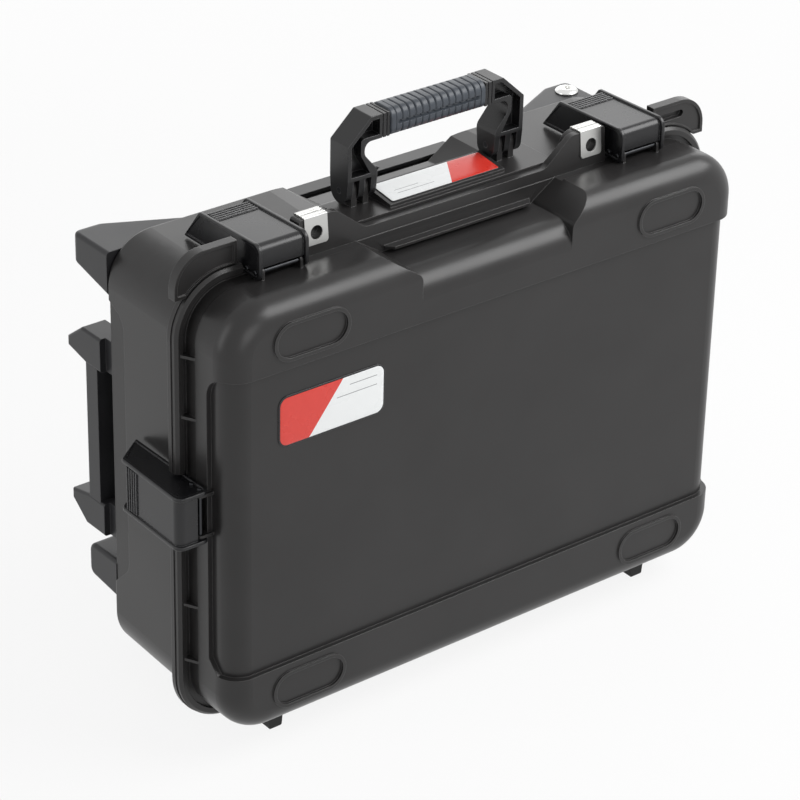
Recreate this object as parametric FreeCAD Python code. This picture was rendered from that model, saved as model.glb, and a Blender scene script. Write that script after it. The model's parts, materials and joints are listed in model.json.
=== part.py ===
import FreeCAD, Part
import math
import os

# Hard tool case with a hinged lid, three lever latches, a folding carry handle,
# a two-stage pull handle and two wheels. Millimetres, +Z up, lid towards -Y.
# The origin lies on the floor, under the middle of the space that the whole case takes up.
# The pieces are built around the middle of the shells and moved there when they are saved.

V = FreeCAD.Vector
AXES = {"x": V(1, 0, 0), "y": V(0, 1, 0), "z": V(0, 0, 1)}

# Case shells
case_width = 540.0
case_height = 396.0
stand_height = 23.0
lid_depth = 63.0
body_depth = 112.0
back_reach = 61.0
wall = 4.0
corner_radius = 42.0
front_radius = 22.0
back_edge_radius = 3.0
body_taper = 4.0
bottom_taper = 1.0
seam_gap = 0.4
running_gap = 0.3
oval_rise = 1.6
overrun = 1.0
snap = 0.001
full_turn = 360

mid_z = stand_height + case_height / 2
top_z = stand_height + case_height
front_y = -(lid_depth + body_depth + back_reach - oval_rise) / 2
parting_y = front_y + lid_depth
body_front_y = parting_y + seam_gap
back_y = parting_y + body_depth
rear_y = back_y + back_reach
side_x = case_width / 2
back_x = side_x - body_taper
cavity_margin = 8.0
cavity_x = side_x - cavity_margin
cavity_half_z = case_height / 2 - cavity_margin

# Lid front: lowered panel between two bands, raised ovals, finger scoop
panel_step = 4.5
panel_band = 60.0
panel_half_height = case_height / 2 - panel_band
panel_side_depth = 31.0
panel_corner = 20.0
panel_cut_corner = 12.0
oval_length = 75.0
oval_height = 34.5
oval_ring = 3.2
oval_sink = 0.8
oval_side_inset = 80.0
oval_end_inset = 35.7
oval_x = side_x - oval_side_inset
oval_z = case_height / 2 - oval_end_inset
scoop_drop = 18.0
scoop_floor_half = 79.0
scoop_mouth_half = 107.0
scoop_depth = 55.0
scoop_corner_round = 9.0

# Mating flanges round both shells
flange_side = 10.5
flange_top = 9.5
flange_bottom = 11.0
flange_radius = 50.0
flange_plate = 3.0
lip_depth = 6.0
lip_wall = 7.0
lip_chamfer = 2.4
bead_rise = 0.8
bead_depth = 4.6
skirt_depth = 17.0
skirt_step = 1.2
web_thickness = 2.4
web_height_shares = (-0.7, -0.43, 0.455, 0.73)

# Corner guards over the flange
guard_length = 59.6
guard_overhang = 8.6
guard_outer_x = side_x + guard_overhang
guard_inner_x = guard_outer_x - guard_length
guard_top = 30.5
guard_foot_drop = 6.0
guard_foot = case_height / 2 - guard_foot_drop
guard_radius = 28.0
guard_front = 3.0
guard_depth = 8.6
guard_gap = 1.2
guard_recess = 1.4
guard_rim = 3.0
guard_slot_length = 30.0
guard_slot_height = 6.6
guard_slot_depth = 5.6
guard_slot_inset = 38.2
guard_slot_x = guard_outer_x - guard_slot_inset
guard_slot_rise = 17.5

# Raised front strip with the padlock ears and the finger ledge
strip_foot = 8.0
strip_top = 5.5
latch_top_inset = 81.0
latch_top_x = side_x - latch_top_inset
ear_latch_gap = 28.0
ear_width = 37.0
ear_outer_x = latch_top_x - ear_latch_gap
ear_inner_x = ear_outer_x - ear_width
strip_half = ear_outer_x
ear_top = 31.0
strip_bend_run = 29.0
strip_low_x = ear_inner_x - strip_bend_run
strip_low = 8.5
strip_bend_radius = 12.0
ledge_inset = 18.0
ledge_half = strip_low_x - ledge_inset
ledge_drop = 15.0
ledge_thickness = 2.4
ledge_reach = 8.0
ledge_end_radius = 6.0
body_ear_depth = 6.0

# Padlock plates
plate_edge_gap = 4.9
plate_width = 22.8
plate_x = ear_outer_x - plate_edge_gap - plate_width / 2
plate_thickness = 1.3
plate_drop = 23.0
plate_corner = 3.0
plate_ridge = 1.0
plate_lid_ridge_count = 1
plate_body_ridge_count = 2
plate_hole_radius = 5.9
plate_hole_below_top = 13.0

# Seal in the lid rim
seal_inset = 4.0
seal_width = 4.0
seal_depth = 3.6
seal_groove_gap = 0.25

# Hinges
hinge_inset = 120.0
hinge_x = side_x - hinge_inset
hinge_drop = 14.5
knuckle_radius = 6.5
knuckle_width = 16.0
knuckle_gap = 0.6
knuckle_count = 5
hinge_pin_radius = 2.5
shaft_gap = 0.05

# Lever latches
latch_width = 48.5
latch_side_z = 12.0
latch_pivot_depth = 19.0
latch_side_shift = 12.0
latch_pivot_rise = 6.4
latch_boss_radius = 5.9
latch_height = 25.0
middle_shift = (latch_pivot_rise + latch_height - flange_side - bead_rise) / 2
latch_length = 77.0
latch_tail = 98.0
latch_tail_drop = 5.4
latch_rib = 2.6
latch_rim = 3.6
latch_rim_height = 3.0
latch_bead = 1.1
latch_web = 3.0
latch_web_step = 2.6
latch_web_rise = 1.6
latch_web_foot = 4.4
latch_web_end = 5.5
latch_bend = 7.0
latch_ridge_count = 5
latch_ridge_pitch = 3.2
latch_ridge_width = 1.4
latch_ridge_rise = 0.7
latch_pin_radius = 2.0
latch_pin_head = 0.9
latch_dome_share = 0.85
lug_offset = 18.8
lug_width = 2.6
lug_radius = 3.6
link_pin_depth = 11.0
link_width = 20.0
link_boss_radius = 4.3
link_arm = 3.2
link_hook = 3.2
striker_depth = 12.0
striker_width = 30.0
striker_thickness = 3.4
striker_height = 5.4
latch_zone_gap = 2.0

# Top of the body: handle pad, label bed and the dip at the back
pad_reach = 18.0
pad_depth = 46.0
pad_rise = 11.0
pad_radius = 8.0
bed_gap = 1.5
bed_start = 4.5
bed_depth = 33.0
bed_rise_front = 3.0
bed_rise_back = 7.5
dip_floor_half = 65.0
dip_mid_half = 90.0
dip_edge_half = 113.0
dip_floor_front = 11.0
dip_floor = 20.5
dip_mid = 3.0
side_band_foot = 71.0
side_band_head = 53.0
side_band_low = case_height / 2 - side_band_foot
side_band_high = case_height / 2 - side_band_head
side_band_depth = 24.0
side_band_sink = 2.6
side_band_radius = 16.0

# Carry handle
handle_half = 92.0
handle_arm_width = 30.0
handle_inner = handle_half - handle_arm_width
pad_half = handle_half + pad_reach
bed_half = handle_inner - bed_gap
handle_depth = 24.0
handle_pivot_depth = 32.5
handle_pivot_rise = 25.0
handle_reach = 63.0
handle_bevel = 21.0
handle_bar = 21.0
handle_wall = 3.6
handle_foot_radius = 11.0
handle_knee_radius = 7.0
handle_shoulder_radius = 8.0
handle_waist = 13.3
handle_knee_drop = 11.0
handle_shoulder = 15.5
handle_bevel_width = 23.0
collar_groove = 1.2
collar_pitch = 4.0
collar_start = 3.0
prong_width = 5.8
knuckle_slot = 6.3
ear_thickness = 5.5
ear_radius = 8.5
ear_slot_radius = 10.0
handle_pin_radius = 2.5
grip_end_gap = 12.0
grip_half = handle_inner - grip_end_gap
grip_collar = 5.0
collar_places = (grip_half + collar_start, grip_half + collar_start + collar_pitch)
grip_height = 24.0
grip_depth = 27.0
grip_core_height = 15.0
grip_core_depth = 17.0
grip_round = 8.0
grip_rib_count = 13
grip_rib_cut = 1.1
grip_rib_gap = 1.3
grip_groove_height = 3.4
grip_groove_cut = 2.2

# Labels
label_thickness = 0.8
front_label_width = 106.5
front_label_height = 46.0
front_label_side_inset = 50.25
front_label_drop = 25.8
front_label_x = front_label_width / 2 + front_label_side_inset - side_x
front_label_rise = panel_half_height - front_label_drop - front_label_height / 2
front_label_radius = 9.0
front_label_rim = 1.6
top_label_side_gap = 4.0
top_label_width = 2 * (bed_half - top_label_side_gap)
top_label_depth = 28.5
top_label_radius = 2.0

# Pull handle at the back
tube_x = 88.0
tube_offset = 20.0
outer_tube = (24.0, 17.0)
middle_tube = (20.6, 13.6)
inner_tube = (17.0, 10.0)
tube_wall = 1.3
tube_foot = 26.0
tube_foot_step = 4.0
tube_top_step = 20.0
tube_socket = 8.0
grip_gap = 1.0
bush_wall = 2.4
bush_height = 12.0
bush_gap = 0.25
pull_half = 105.0
pull_depth = 26.0
pull_front = 7.7
pull_top_drop = 19.5
pull_lip = 3.0
pull_flat = 16.0
pull_core_height = 18.0
pull_core_inset = 2.0
pull_round = 5.0
button_length = 42.0
button_depth = 8.0
button_offset = 15.7
button_rise = 1.8
button_stem = 8.0
button_travel = 4.0
button_gap = 0.4
rod_radius = 2.0
rod_length = 250.0
rod_shoe = 8.0
push_bar = 2.5
push_bar_depth = 4.0
spring_coil_radius = 2.9
spring_wire = 0.5
spring_length = 6.0
spring_turns = 4
pocket_clearance = 0.5

# Brackets that clamp the outer tubes to the back wall
bracket_half = 120.0
bracket_height = 34.0
bracket_depth = 31.0
bracket_round = 6.0
upper_bracket_drop = 89.0
lower_bracket_rise = 17.0
upper_bracket_z = top_z - upper_bracket_drop
lower_bracket_z = stand_height + lower_bracket_rise
screw_radius = 2.0
screw_head_radius = 4.0
screw_head_height = 2.2
screw_length = 12.0
bracket_screw_length = 15.0
screw_drive = 1.4
screw_well_radius = 4.6

# Corner blocks, skids and wheels at the back
block_width = 96.0
block_drop = 13.0
block_outer_x = back_x
block_inner_x = block_outer_x - block_width
block_top = case_height / 2 - block_drop
block_side = 26.0
block_slope = 13.0
block_reach = 54.0
block_inner_reach = 17.0
block_tip_inset = 20.0
block_tip_x = block_outer_x - block_tip_inset
block_round = 8.0
block_edge = 3.6
cap_radius = 10.5
cap_top_radius = 6.5
cap_height = 4.2
cap_hex = 8.0
cap_inset_x = 16.0
cap_inset_y = 22.0
skid_inset = 3.0
skid_outer_x = side_x - skid_inset
skid_width = 24.0
skid_top_drop = 97.0
skid_carrier_gap = 20.0
skid_edge = 2.4
skid_wedge_height = 31.0
skid_wedge_slope = 21.0
skid_chamfer = 16.0
skid_lift = 6.0
skid_reach = 61.0
skid_front = 12.0
skid_neck = 6.0
skid_bar_front = 17.5
skid_bar_depth = 16.5
wheel_radius = 42.0
wheel_width = 26.0
wheel_inset = 75.0
wheel_x = side_x - wheel_inset
wheel_floor_gap = 1.5
wheel_gap = 4.0
tyre_thickness = 8.0
wheel_hub_radius = 12.0
wheel_rim_width = 22.0
wheel_spoke_count = 6
wheel_spoke = 5.0
spoke_width_share = 0.6
axle_radius = 4.0
axle_flange = 7.0
axle_flange_height = 2.5
carrier_inset = 6.0
carrier_outer_x = side_x - carrier_inset
carrier_height = 91.0
carrier_top = case_height / 2 - carrier_height
skid_high = case_height / 2 - skid_top_drop
skid_low = carrier_top - skid_carrier_gap
carrier_wall = 6.0
carrier_reach = 42.0
carrier_slope = 5.0
carrier_side = 31.0
rear_foot_depth = 26.0
front_foot_inset = 66.0
front_foot_x = side_x - front_foot_inset
front_foot_width = 17.0
front_foot_start = 28.0
front_foot_end = 46.0
front_foot_round = 6.0
front_foot_taper = 2.5


def box(x, y, z):
    """Block between three (low, high) pairs."""
    size = (x[1] - x[0], y[1] - y[0], z[1] - z[0])
    return Part.makeBox(size[0], size[1], size[2], V(x[0], y[0], z[0]))


def centred(middle, size):
    """Block of a size about its middle point."""
    low = [m - s / 2 for m, s in zip(middle, size)]
    return Part.makeBox(size[0], size[1], size[2], V(*low))


def rod(middle, axis, radius, length):
    """Round bar about its middle point."""
    direction = AXES[axis]
    start = V(*middle) - direction * (length / 2)
    return Part.makeCylinder(radius, length, start, direction)


def place(axis, a, b, along):
    """Point of an outline in the plane square to an axis."""
    if axis == "x":
        return V(along, a, b)
    if axis == "y":
        return V(a, along, b)
    return V(a, b, along)


def outline(points, axis, along=0.0):
    """Closed wire through (a, b) or (a, b, radius) corners."""
    corners = [place(axis, p[0], p[1], along) for p in points]
    radii = [p[2] if len(p) > 2 else 0 for p in points]
    count = len(corners)
    bends = []
    for i in range(count):
        here = corners[i]
        if radii[i] <= 0:
            bends.append((here, None, here))
            continue
        before = (corners[i - 1] - here).normalize()
        after = (corners[(i + 1) % count] - here).normalize()
        half = before.getAngle(after) / 2
        reach = radii[i] / math.tan(half)
        inward = (before + after).normalize()
        middle = here + inward * (radii[i] / math.sin(half) - radii[i])
        bends.append((here + before * reach, middle, here + after * reach))
    edges = []
    for i, (start, middle, end) in enumerate(bends):
        last = bends[i - 1][2]
        if (start - last).Length > snap:
            edges.append(Part.LineSegment(last, start).toShape())
        if middle is not None:
            edges.append(Part.Arc(start, middle, end).toShape())
    return Part.Wire(edges)


def extrude(points, axis, low, high):
    """Solid from an outline, drawn out along its axis."""
    face = Part.Face(outline(points, axis, low))
    return face.extrude(AXES[axis] * (high - low))


def rectangle(a, b, radius=0.0):
    """Corner list of a rectangle, all corners alike."""
    return [(a[0], b[0], radius), (a[1], b[0], radius),
            (a[1], b[1], radius), (a[0], b[1], radius)]


def stadium(length, height, middle):
    """Corner list of a slot shape with round ends."""
    a, b = middle
    r = height / 2 - snap
    return rectangle((a - length / 2, a + length / 2), (b - height / 2, b + height / 2), r)


def join(shapes):
    """One shape from several that touch or overlap."""
    result = shapes[0]
    if len(shapes) > 1:
        result = result.fuse(shapes[1:])
    return result.removeSplitter()


def cut(shape, tools):
    """Shape less its tools."""
    return shape.cut(tools).removeSplitter()


def round_edges(shape, radius, test):
    """Fillet on the edges whose middle point and direction pass a test."""
    chosen = []
    for edge in shape.Edges:
        middle = edge.valueAt((edge.FirstParameter + edge.LastParameter) / 2)
        tangent = edge.tangentAt((edge.FirstParameter + edge.LastParameter) / 2)
        if test(middle, tangent):
            chosen.append(edge)
    return shape.makeFillet(radius, chosen) if chosen else shape


def upright(middle, tangent):
    """True for an edge that runs straight up."""
    return abs(tangent.z) > abs(tangent.x) + abs(tangent.y)


def flipped(shape):
    """The same piece on the other side of the case."""
    return shape.mirror(V(0, 0, 0), AXES["x"])


def pair(shape):
    """A piece and its mirror image."""
    return [shape, flipped(shape)]


def save(node, shapes):
    """Write one node as its separate solids, moved so that the origin is under the middle."""
    solids = []
    for shape in shapes if isinstance(shapes, list) else [shapes]:
        solids += shape.Solids
    bad = [s for s in solids if not s.isValid() or s.Volume <= 0]
    shape = solids[0] if len(solids) == 1 else Part.makeCompound(solids)
    shape = shape.translated(V(middle_shift, 0, 0))
    shape.exportStep("parts/" + node + ".step")
    volume = sum(s.Volume for s in solids) / 1000
    b = shape.BoundBox
    print("%-26s %3d solids %9.2f cm3  x %7.1f %7.1f  y %7.1f %7.1f  z %6.1f %6.1f%s" % (
        node, len(solids), volume, b.XMin, b.XMax, b.YMin, b.YMax, b.ZMin, b.ZMax,
        "  INVALID" if bad else ""))


def shell_prism(grow, y, radius, top=None, bottom=None):
    """Rounded block with the outline of the case, grown on every side."""
    high = top_z + grow if top is None else top
    low = stand_height - grow if bottom is None else bottom
    points = rectangle((-side_x - grow, side_x + grow), (low, high), radius)
    return extrude(points, "y", y[0], y[1])


def domed(grow, y, radius, edge_radius, top=None):
    """Shell block with its front edges rounded."""
    block = shell_prism(grow, y, radius, top)
    near = edge_radius / 10
    return round_edges(block, edge_radius, lambda m, t: abs(m.y - y[0]) < near)


def flange_prism(y, grow=0.0):
    """Block with the outline of the mating flange."""
    x = side_x + flange_side + grow
    low = stand_height - flange_bottom - grow
    high = top_z + flange_top + grow
    return extrude(rectangle((-x, x), (low, high), flange_radius + grow), "y", y[0], y[1])


def latch_frames():
    """Each latch: its name, the move from its own frame, its pivot's depth."""
    rise = latch_pivot_rise
    frames = []
    for name, sign in (("left", -1), ("right", 1)):
        depth = latch_pivot_depth
        place_at = V(sign * latch_top_x, parting_y - depth, top_z + rise)
        frames.append(("top_" + name, FreeCAD.Placement(place_at, FreeCAD.Rotation()), depth))
    depth = latch_pivot_depth + latch_side_shift
    turn = FreeCAD.Rotation(AXES["y"], -full_turn / 4)
    place_at = V(-side_x - rise, parting_y - depth, mid_z + latch_side_z)
    frames.append(("side_left", FreeCAD.Placement(place_at, turn), depth))
    return frames


def moved(shape, spot):
    """Copy of a shape, put where a latch sits."""
    copy = shape.copy()
    copy.Placement = spot.multiply(copy.Placement)
    return copy


def latch_zone(y):
    """Space across the flange that a latch needs."""
    half = latch_width / 2 + latch_zone_gap
    return box((-half, half), y, (-latch_pivot_rise, latch_height + guard_top))


def lid_lugs():
    """Two thin ears beside the ribs that carry a latch's pivot pin."""
    foot = latch_pivot_rise + panel_step + wall / 2
    lugs = []
    for sign in (-1, 1):
        ear = rod((sign * lug_offset, 0, 0), "x", lug_radius, lug_width)
        base = centred((sign * lug_offset, 0, -foot / 2), (lug_width, 2 * lug_radius, foot))
        lugs.append(ear.fuse(base))
    return lugs


def body_striker(depth):
    """Rib on the body that the latch's link hooks behind."""
    y = depth + striker_depth
    low = -latch_pivot_rise - wall / 2
    high = striker_height - latch_pivot_rise
    return box((-striker_width / 2, striker_width / 2), (y, y + striker_thickness), (low, high))


def latch_rib_points(inset=0.0):
    """Side outline of the lever, seen along its pivot."""
    r = latch_boss_radius - inset
    high = latch_height - inset
    tail = -latch_tail_drop + inset
    knee = latch_boss_radius + latch_bend
    return [(-r, -r, r), (-r, high, latch_bend + overrun),
            (latch_length - inset / 2, high - wall / 2, latch_bend / 2),
            (latch_tail - inset, tail, overrun), (knee, tail)]


def latch_lever():
    """Channel lever: a web between two rimmed side ribs."""
    half = latch_width / 2
    rib = extrude(latch_rib_points(), "x", half - latch_rim, half)
    field = extrude(latch_rib_points(latch_rim_height), "x",
                    half - latch_rim + latch_rib, half + overrun)
    rib = rib.cut(field)
    crest = latch_height - latch_rim_height
    rib = round_edges(rib, latch_bead, lambda m, t: m.z > crest and abs(t.x) < snap)
    front = -latch_boss_radius + latch_web_step
    high = latch_height - latch_web_rise
    back = latch_length - latch_web_end
    drop = wall / 2
    profile = [(front, latch_web_foot), (front, high, latch_bend), (back, high - drop),
               (back, high - drop - latch_web),
               (front + latch_web, high - latch_web, latch_bend - latch_web),
               (front + latch_web, latch_web_foot)]
    web = extrude(profile, "x", -half + latch_rim / 2, half - latch_rim / 2)
    ridges = []
    for i in range(latch_ridge_count):
        y = back - i * latch_ridge_pitch - latch_ridge_width
        ridges.append(centred((0, y, high - drop), (latch_width - 2 * latch_rim - 2 * overrun,
                                                    latch_ridge_width, 4 * latch_ridge_rise)))
    lever = join(pair(rib) + [web] + ridges)
    bores = [rod((0, depth, 0), "x", latch_pin_radius + shaft_gap, 2 * latch_width)
             for depth in (0, link_pin_depth)]
    return cut(lever, bores)


def latch_link(depth):
    """Hooked arm that turns on the lever's second pin."""
    half = link_width / 2
    low = striker_height - latch_pivot_rise + 2 * running_gap
    boss = rod((0, link_pin_depth, 0), "x", link_boss_radius, link_width)
    hook_front = depth + striker_depth + striker_thickness + 2 * running_gap
    hook_back = hook_front + link_hook
    points = [(link_pin_depth, low), (hook_front, low), (hook_front, -link_hook),
              (hook_back, -link_hook), (hook_back, low + link_arm, link_arm / 2),
              (link_pin_depth, low + link_arm)]
    arm = extrude(points, "x", -half, half)
    bore = rod((0, link_pin_depth, 0), "x", latch_pin_radius + shaft_gap, 2 * link_width)
    return cut(boss.fuse(arm), [bore])


def latch_pin(depth, length):
    """Steel pin with domed heads that stand proud of the lever's ribs."""
    pin = rod((0, depth, 0), "x", latch_pin_radius, length)
    return round_edges(pin, latch_pin_head * latch_dome_share,
                       lambda m, t: abs(abs(m.x) - length / 2) < snap)


def panel_tools():
    """Region of the lowered front panel, less its own rounded core."""
    low = mid_z - panel_half_height
    high = mid_z + panel_half_height
    edge = front_y + panel_side_depth
    points = [(front_y - overrun, low), (edge - panel_cut_corner, low),
              (edge, low + panel_cut_corner), (edge, high, panel_corner),
              (front_y - overrun, high)]
    region = extrude(points, "x", -side_x - overrun, side_x + overrun)
    core = domed(-panel_step, (front_y + panel_step, parting_y), corner_radius - panel_step,
                 front_radius - panel_step / 2)
    return region.cut(core)


def scoop_tool():
    """Wedge of space above the finger scoop."""
    floor_z = top_z - scoop_drop
    spread = (scoop_mouth_half - scoop_floor_half) * overrun / scoop_drop
    sill = floor_z - 2 * front_radius
    half = [(scoop_floor_half, sill, 0), (scoop_floor_half, floor_z, scoop_corner_round),
            (scoop_mouth_half, top_z, 0), (scoop_mouth_half + spread, top_z + overrun, 0)]
    points = half + [(-x, z, r) for x, z, r in reversed(half)]
    region = extrude(points, "y", front_y - overrun, front_y + scoop_depth)
    low_dome = domed(0, (front_y, parting_y), corner_radius, front_radius, floor_z)
    return region.cut(low_dome)


def ovals():
    """Raised rings on the upper and lower band, and the sunk fields in them."""
    rings = []
    fields = []
    for sx in (-1, 1):
        for sz in (-1, 1):
            middle = (sx * oval_x, mid_z + sz * oval_z)
            outer = extrude(stadium(oval_length, oval_height, middle), "y",
                            front_y - oval_rise, front_y + wall / 2)
            inner_size = (oval_length - 2 * oval_ring, oval_height - 2 * oval_ring)
            inner = extrude(stadium(inner_size[0], inner_size[1], middle), "y",
                            front_y - 2 * oval_rise, front_y + wall)
            field = extrude(stadium(inner_size[0], inner_size[1], middle), "y",
                            front_y - 2 * oval_rise, front_y + oval_sink)
            rings.append(outer.cut(inner))
            fields.append(field)
    return rings, fields


def front_strip():
    """Sloping strip on the lid with an ear for a padlock at each end."""
    low = top_z - ledge_drop
    high = top_z + ear_top
    slope = (strip_foot - strip_top) / (ear_top)
    foot_y = parting_y - strip_foot - slope * ledge_drop / 2
    profile = [(foot_y, low), (parting_y, low), (parting_y, high), (parting_y - strip_top, high)]
    strip = extrude(profile, "x", -strip_half, strip_half)
    return strip.common(extrude(strip_outline(low), "y", foot_y - overrun, parting_y + overrun))


def strip_outline(low):
    """Front outline of the strip: high ears, S bends and a low middle."""
    high = top_z + ear_top
    dip = top_z + strip_low
    r = strip_bend_radius
    half = [(ear_outer_x, high, plate_corner), (ear_inner_x, high, r), (strip_low_x, dip, r)]
    left = [(-x, z, c) for x, z, c in reversed(half)]
    return [(-strip_half, top_z - overrun), (-ledge_half - r, top_z - overrun),
            (-ledge_half, low), (ledge_half, low), (ledge_half + r, top_z - overrun),
            (strip_half, top_z - overrun)] + half + left


def finger_ledge():
    """Thin pull lip below the strip, with ends that curl up."""
    z = top_z - ledge_drop
    y = parting_y - strip_foot - ledge_reach
    r = ledge_end_radius
    points = [(-ledge_half, y + r), (-ledge_half + r, y), (ledge_half - r, y), (ledge_half, y + r),
              (ledge_half, parting_y), (-ledge_half, parting_y)]
    return extrude(points, "z", z, z + ledge_thickness)


def plate_holes(depth):
    """Padlock holes through both ears."""
    z = top_z + ear_top - plate_hole_below_top
    return [rod((sign * plate_x, parting_y, z), "y", plate_hole_radius + running_gap, depth)
            for sign in (-1, 1)]


def flange_webs():
    """Small gussets between the flange and the lid's dome."""
    webs = []
    reach = lip_wall - lip_chamfer
    for share in web_height_shares:
        z = mid_z + share * case_height / 2
        points = [(side_x - skirt_step - wall / 2, parting_y),
                  (side_x - skirt_step - wall / 2, parting_y - skirt_depth + snap),
                  (side_x, parting_y - skirt_depth + snap),
                  (side_x + flange_side - reach, parting_y - lip_depth),
                  (side_x + flange_side - reach, parting_y)]
        web = extrude(points, "z", z - web_thickness / 2, z + web_thickness / 2)
        webs += pair(web)
    return webs


def flange_lip():
    """Outer lip of the lid's flange with a chamfered front edge."""
    y = (parting_y - lip_depth, parting_y)
    lip = flange_prism(y)
    edges = [e for e in lip.Edges if abs(e.CenterOfMass.y - y[0]) < snap]
    lip = lip.makeChamfer(lip_chamfer, edges)
    return lip.cut(flange_prism((y[0] - overrun, y[1] + overrun), -lip_wall))


def hinge_parts(lid_side):
    """Knuckles of one hinge leaf and the room its partner needs."""
    centre = (parting_y + seam_gap / 2, stand_height - hinge_drop)
    knuckles = []
    room = []
    for side in (-1, 1):
        for i in range(knuckle_count):
            x = side * hinge_x + (i - (knuckle_count - 1) / 2) * knuckle_width
            mine = (i % 2 == 1) == lid_side
            if mine:
                barrel = rod((x, *centre), "x", knuckle_radius, knuckle_width - knuckle_gap)
                leaf_y = centre[0] - knuckle_radius if lid_side else centre[0] + seam_gap / 2
                leaf_end = centre[0] - seam_gap / 2 if lid_side else centre[0] + knuckle_radius
                half = (knuckle_width - knuckle_gap) / 2
                leaf = box((x - half, x + half), (leaf_y, leaf_end),
                           (centre[1], stand_height - overrun))
                knuckles.append(barrel.fuse(leaf))
            else:
                room.append(rod((x, *centre), "x", knuckle_radius + 2 * running_gap,
                                knuckle_width + knuckle_gap))
    bore = [rod((side * hinge_x, *centre), "x", hinge_pin_radius + shaft_gap,
                (knuckle_count + 1) * knuckle_width) for side in (-1, 1)]
    return knuckles, room, bore


def hinge_pins():
    """Steel pins through the knuckles."""
    centre = (parting_y + seam_gap / 2, stand_height - hinge_drop)
    length = knuckle_count * knuckle_width - knuckle_gap
    return [rod((side * hinge_x, *centre), "x", hinge_pin_radius, length) for side in (-1, 1)]


def seal_ring(gap, y):
    """Ring in the lid rim, grown by a gap on both sides."""
    outer_grow = -seal_inset + seal_width / 2 + gap
    inner_grow = -seal_inset - seal_width / 2 - gap
    ring = shell_prism(outer_grow, y, corner_radius - seal_inset + seal_width / 2 + gap)
    hole = shell_prism(inner_grow, (y[0] - overrun, y[1] + overrun),
                       corner_radius - seal_inset - seal_width / 2 - gap)
    return ring.cut(hole)


def lid_shell():
    """Front half of the case with its flange, strip, ears and lugs."""
    dome = domed(0, (front_y, parting_y - skirt_depth), corner_radius, front_radius)
    skirt = shell_prism(-skirt_step, (parting_y - skirt_depth - wall, parting_y),
                        corner_radius - skirt_step)
    dome = dome.fuse(skirt).cut([panel_tools(), scoop_tool()])
    rings, fields = ovals()
    plate_ring = flange_prism((parting_y - flange_plate, parting_y))
    dome = dome.fuse(rings).cut(fields)
    lid = dome.fuse([plate_ring, flange_lip()] + flange_webs())
    lid = lid.cut(extrude(rectangle((-strip_half, strip_half),
                                    (top_z - overrun, top_z + 2 * ear_top)),
                          "y", parting_y - 2 * lip_depth, parting_y + overrun))
    top_band = box((-strip_half, strip_half), (parting_y - wall, parting_y),
                   (top_z - scoop_drop - wall, top_z))
    lid = lid.fuse([top_band, front_strip(), finger_ledge()])
    spots = [spot for name, spot, depth in latch_frames()]
    lid = lid.cut([moved(latch_zone((-latch_boss_radius, depth + overrun)), spot)
                   for name, spot, depth in latch_frames()])
    for spot in spots:
        lid = lid.fuse([moved(lug, spot) for lug in lid_lugs()])
    cavity = extrude(rectangle((-cavity_x, cavity_x),
                               (mid_z - cavity_half_z, mid_z + cavity_half_z),
                               corner_radius - cavity_margin),
                     "y", front_y + panel_step + wall, parting_y + overrun)
    cavity = round_edges(cavity, front_radius / 2,
                         lambda m, t: abs(m.y - front_y - panel_step - wall) < overrun)
    ceiling = top_z - scoop_drop - wall
    roof = extrude([(front_y, ceiling - front_radius), (front_y, top_z + overrun),
                    (parting_y + 2 * overrun, top_z + overrun),
                    (parting_y + 2 * overrun, ceiling), (front_y + 1.5 * front_radius, ceiling)],
                   "x", -scoop_mouth_half - 2 * wall, scoop_mouth_half + 2 * wall)
    cavity = cavity.cut(roof)
    knuckles, room, bores = hinge_parts(True)
    lid = lid.cut([cavity] + plate_holes(4 * lip_depth))
    groove = seal_ring(seal_groove_gap, (parting_y - seal_depth, parting_y + overrun))
    lid = lid.cut([groove] + room).fuse(knuckles)
    pivots = rod((0, 0, 0), "x", latch_pin_radius + shaft_gap, latch_width)
    lid = lid.cut(bores + [moved(pivots, spot) for spot in spots])
    return lid.removeSplitter()


def guard_points(inset):
    """Front outline of a corner guard."""
    low = top_z - wall + inset
    high = top_z + guard_top - inset
    foot = mid_z + guard_foot + inset
    x = guard_outer_x - inset
    return [(guard_inner_x + inset, low), (guard_inner_x + inset, high),
            (x, high, guard_radius - inset), (x, foot), (side_x - 2 * wall, foot),
            (side_x - 2 * wall, low)]


def corner_guard():
    """Hood over the flange at the upper right corner of the body."""
    y = (parting_y - guard_front, parting_y - guard_front + guard_depth)
    hood = extrude(guard_points(0), "y", y[0], y[1])
    room = flange_prism((y[0] - overrun, body_front_y), guard_gap)
    recess = extrude(guard_points(guard_rim), "y", y[0] - overrun, y[0] + guard_recess)
    recess = recess.cut(flange_prism((y[0] - 2 * overrun, y[1]), guard_gap + guard_rim / 2))
    return cut(hood, [room, recess])


def guard_slot():
    """Blind slot in the right-hand corner guard."""
    y = parting_y - guard_front
    middle = (guard_slot_x, top_z + guard_slot_rise)
    return extrude(stadium(guard_slot_length, guard_slot_height, middle), "y",
                   y - overrun, y + guard_slot_depth)


def body_ears():
    """Body side of the two padlock ears."""
    y = (body_front_y, body_front_y + body_ear_depth)
    ear = extrude([(ear_inner_x - strip_bend_radius, top_z - wall / 2),
                   (ear_inner_x, top_z + ear_top, strip_bend_radius),
                   (ear_outer_x, top_z + ear_top, plate_corner), (ear_outer_x, top_z - wall / 2)],
                  "y", y[0], y[1])
    return pair(ear)


def handle_centre():
    """Pivot line of the carry handle: its y and z."""
    return body_front_y + handle_pivot_depth, top_z + handle_pivot_rise


def ear_positions():
    """Centres of the two upright ears inside one handle arm."""
    step = prong_width + knuckle_slot
    return [handle_inner + prong_width + knuckle_slot / 2 + i * step for i in range(2)]


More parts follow.
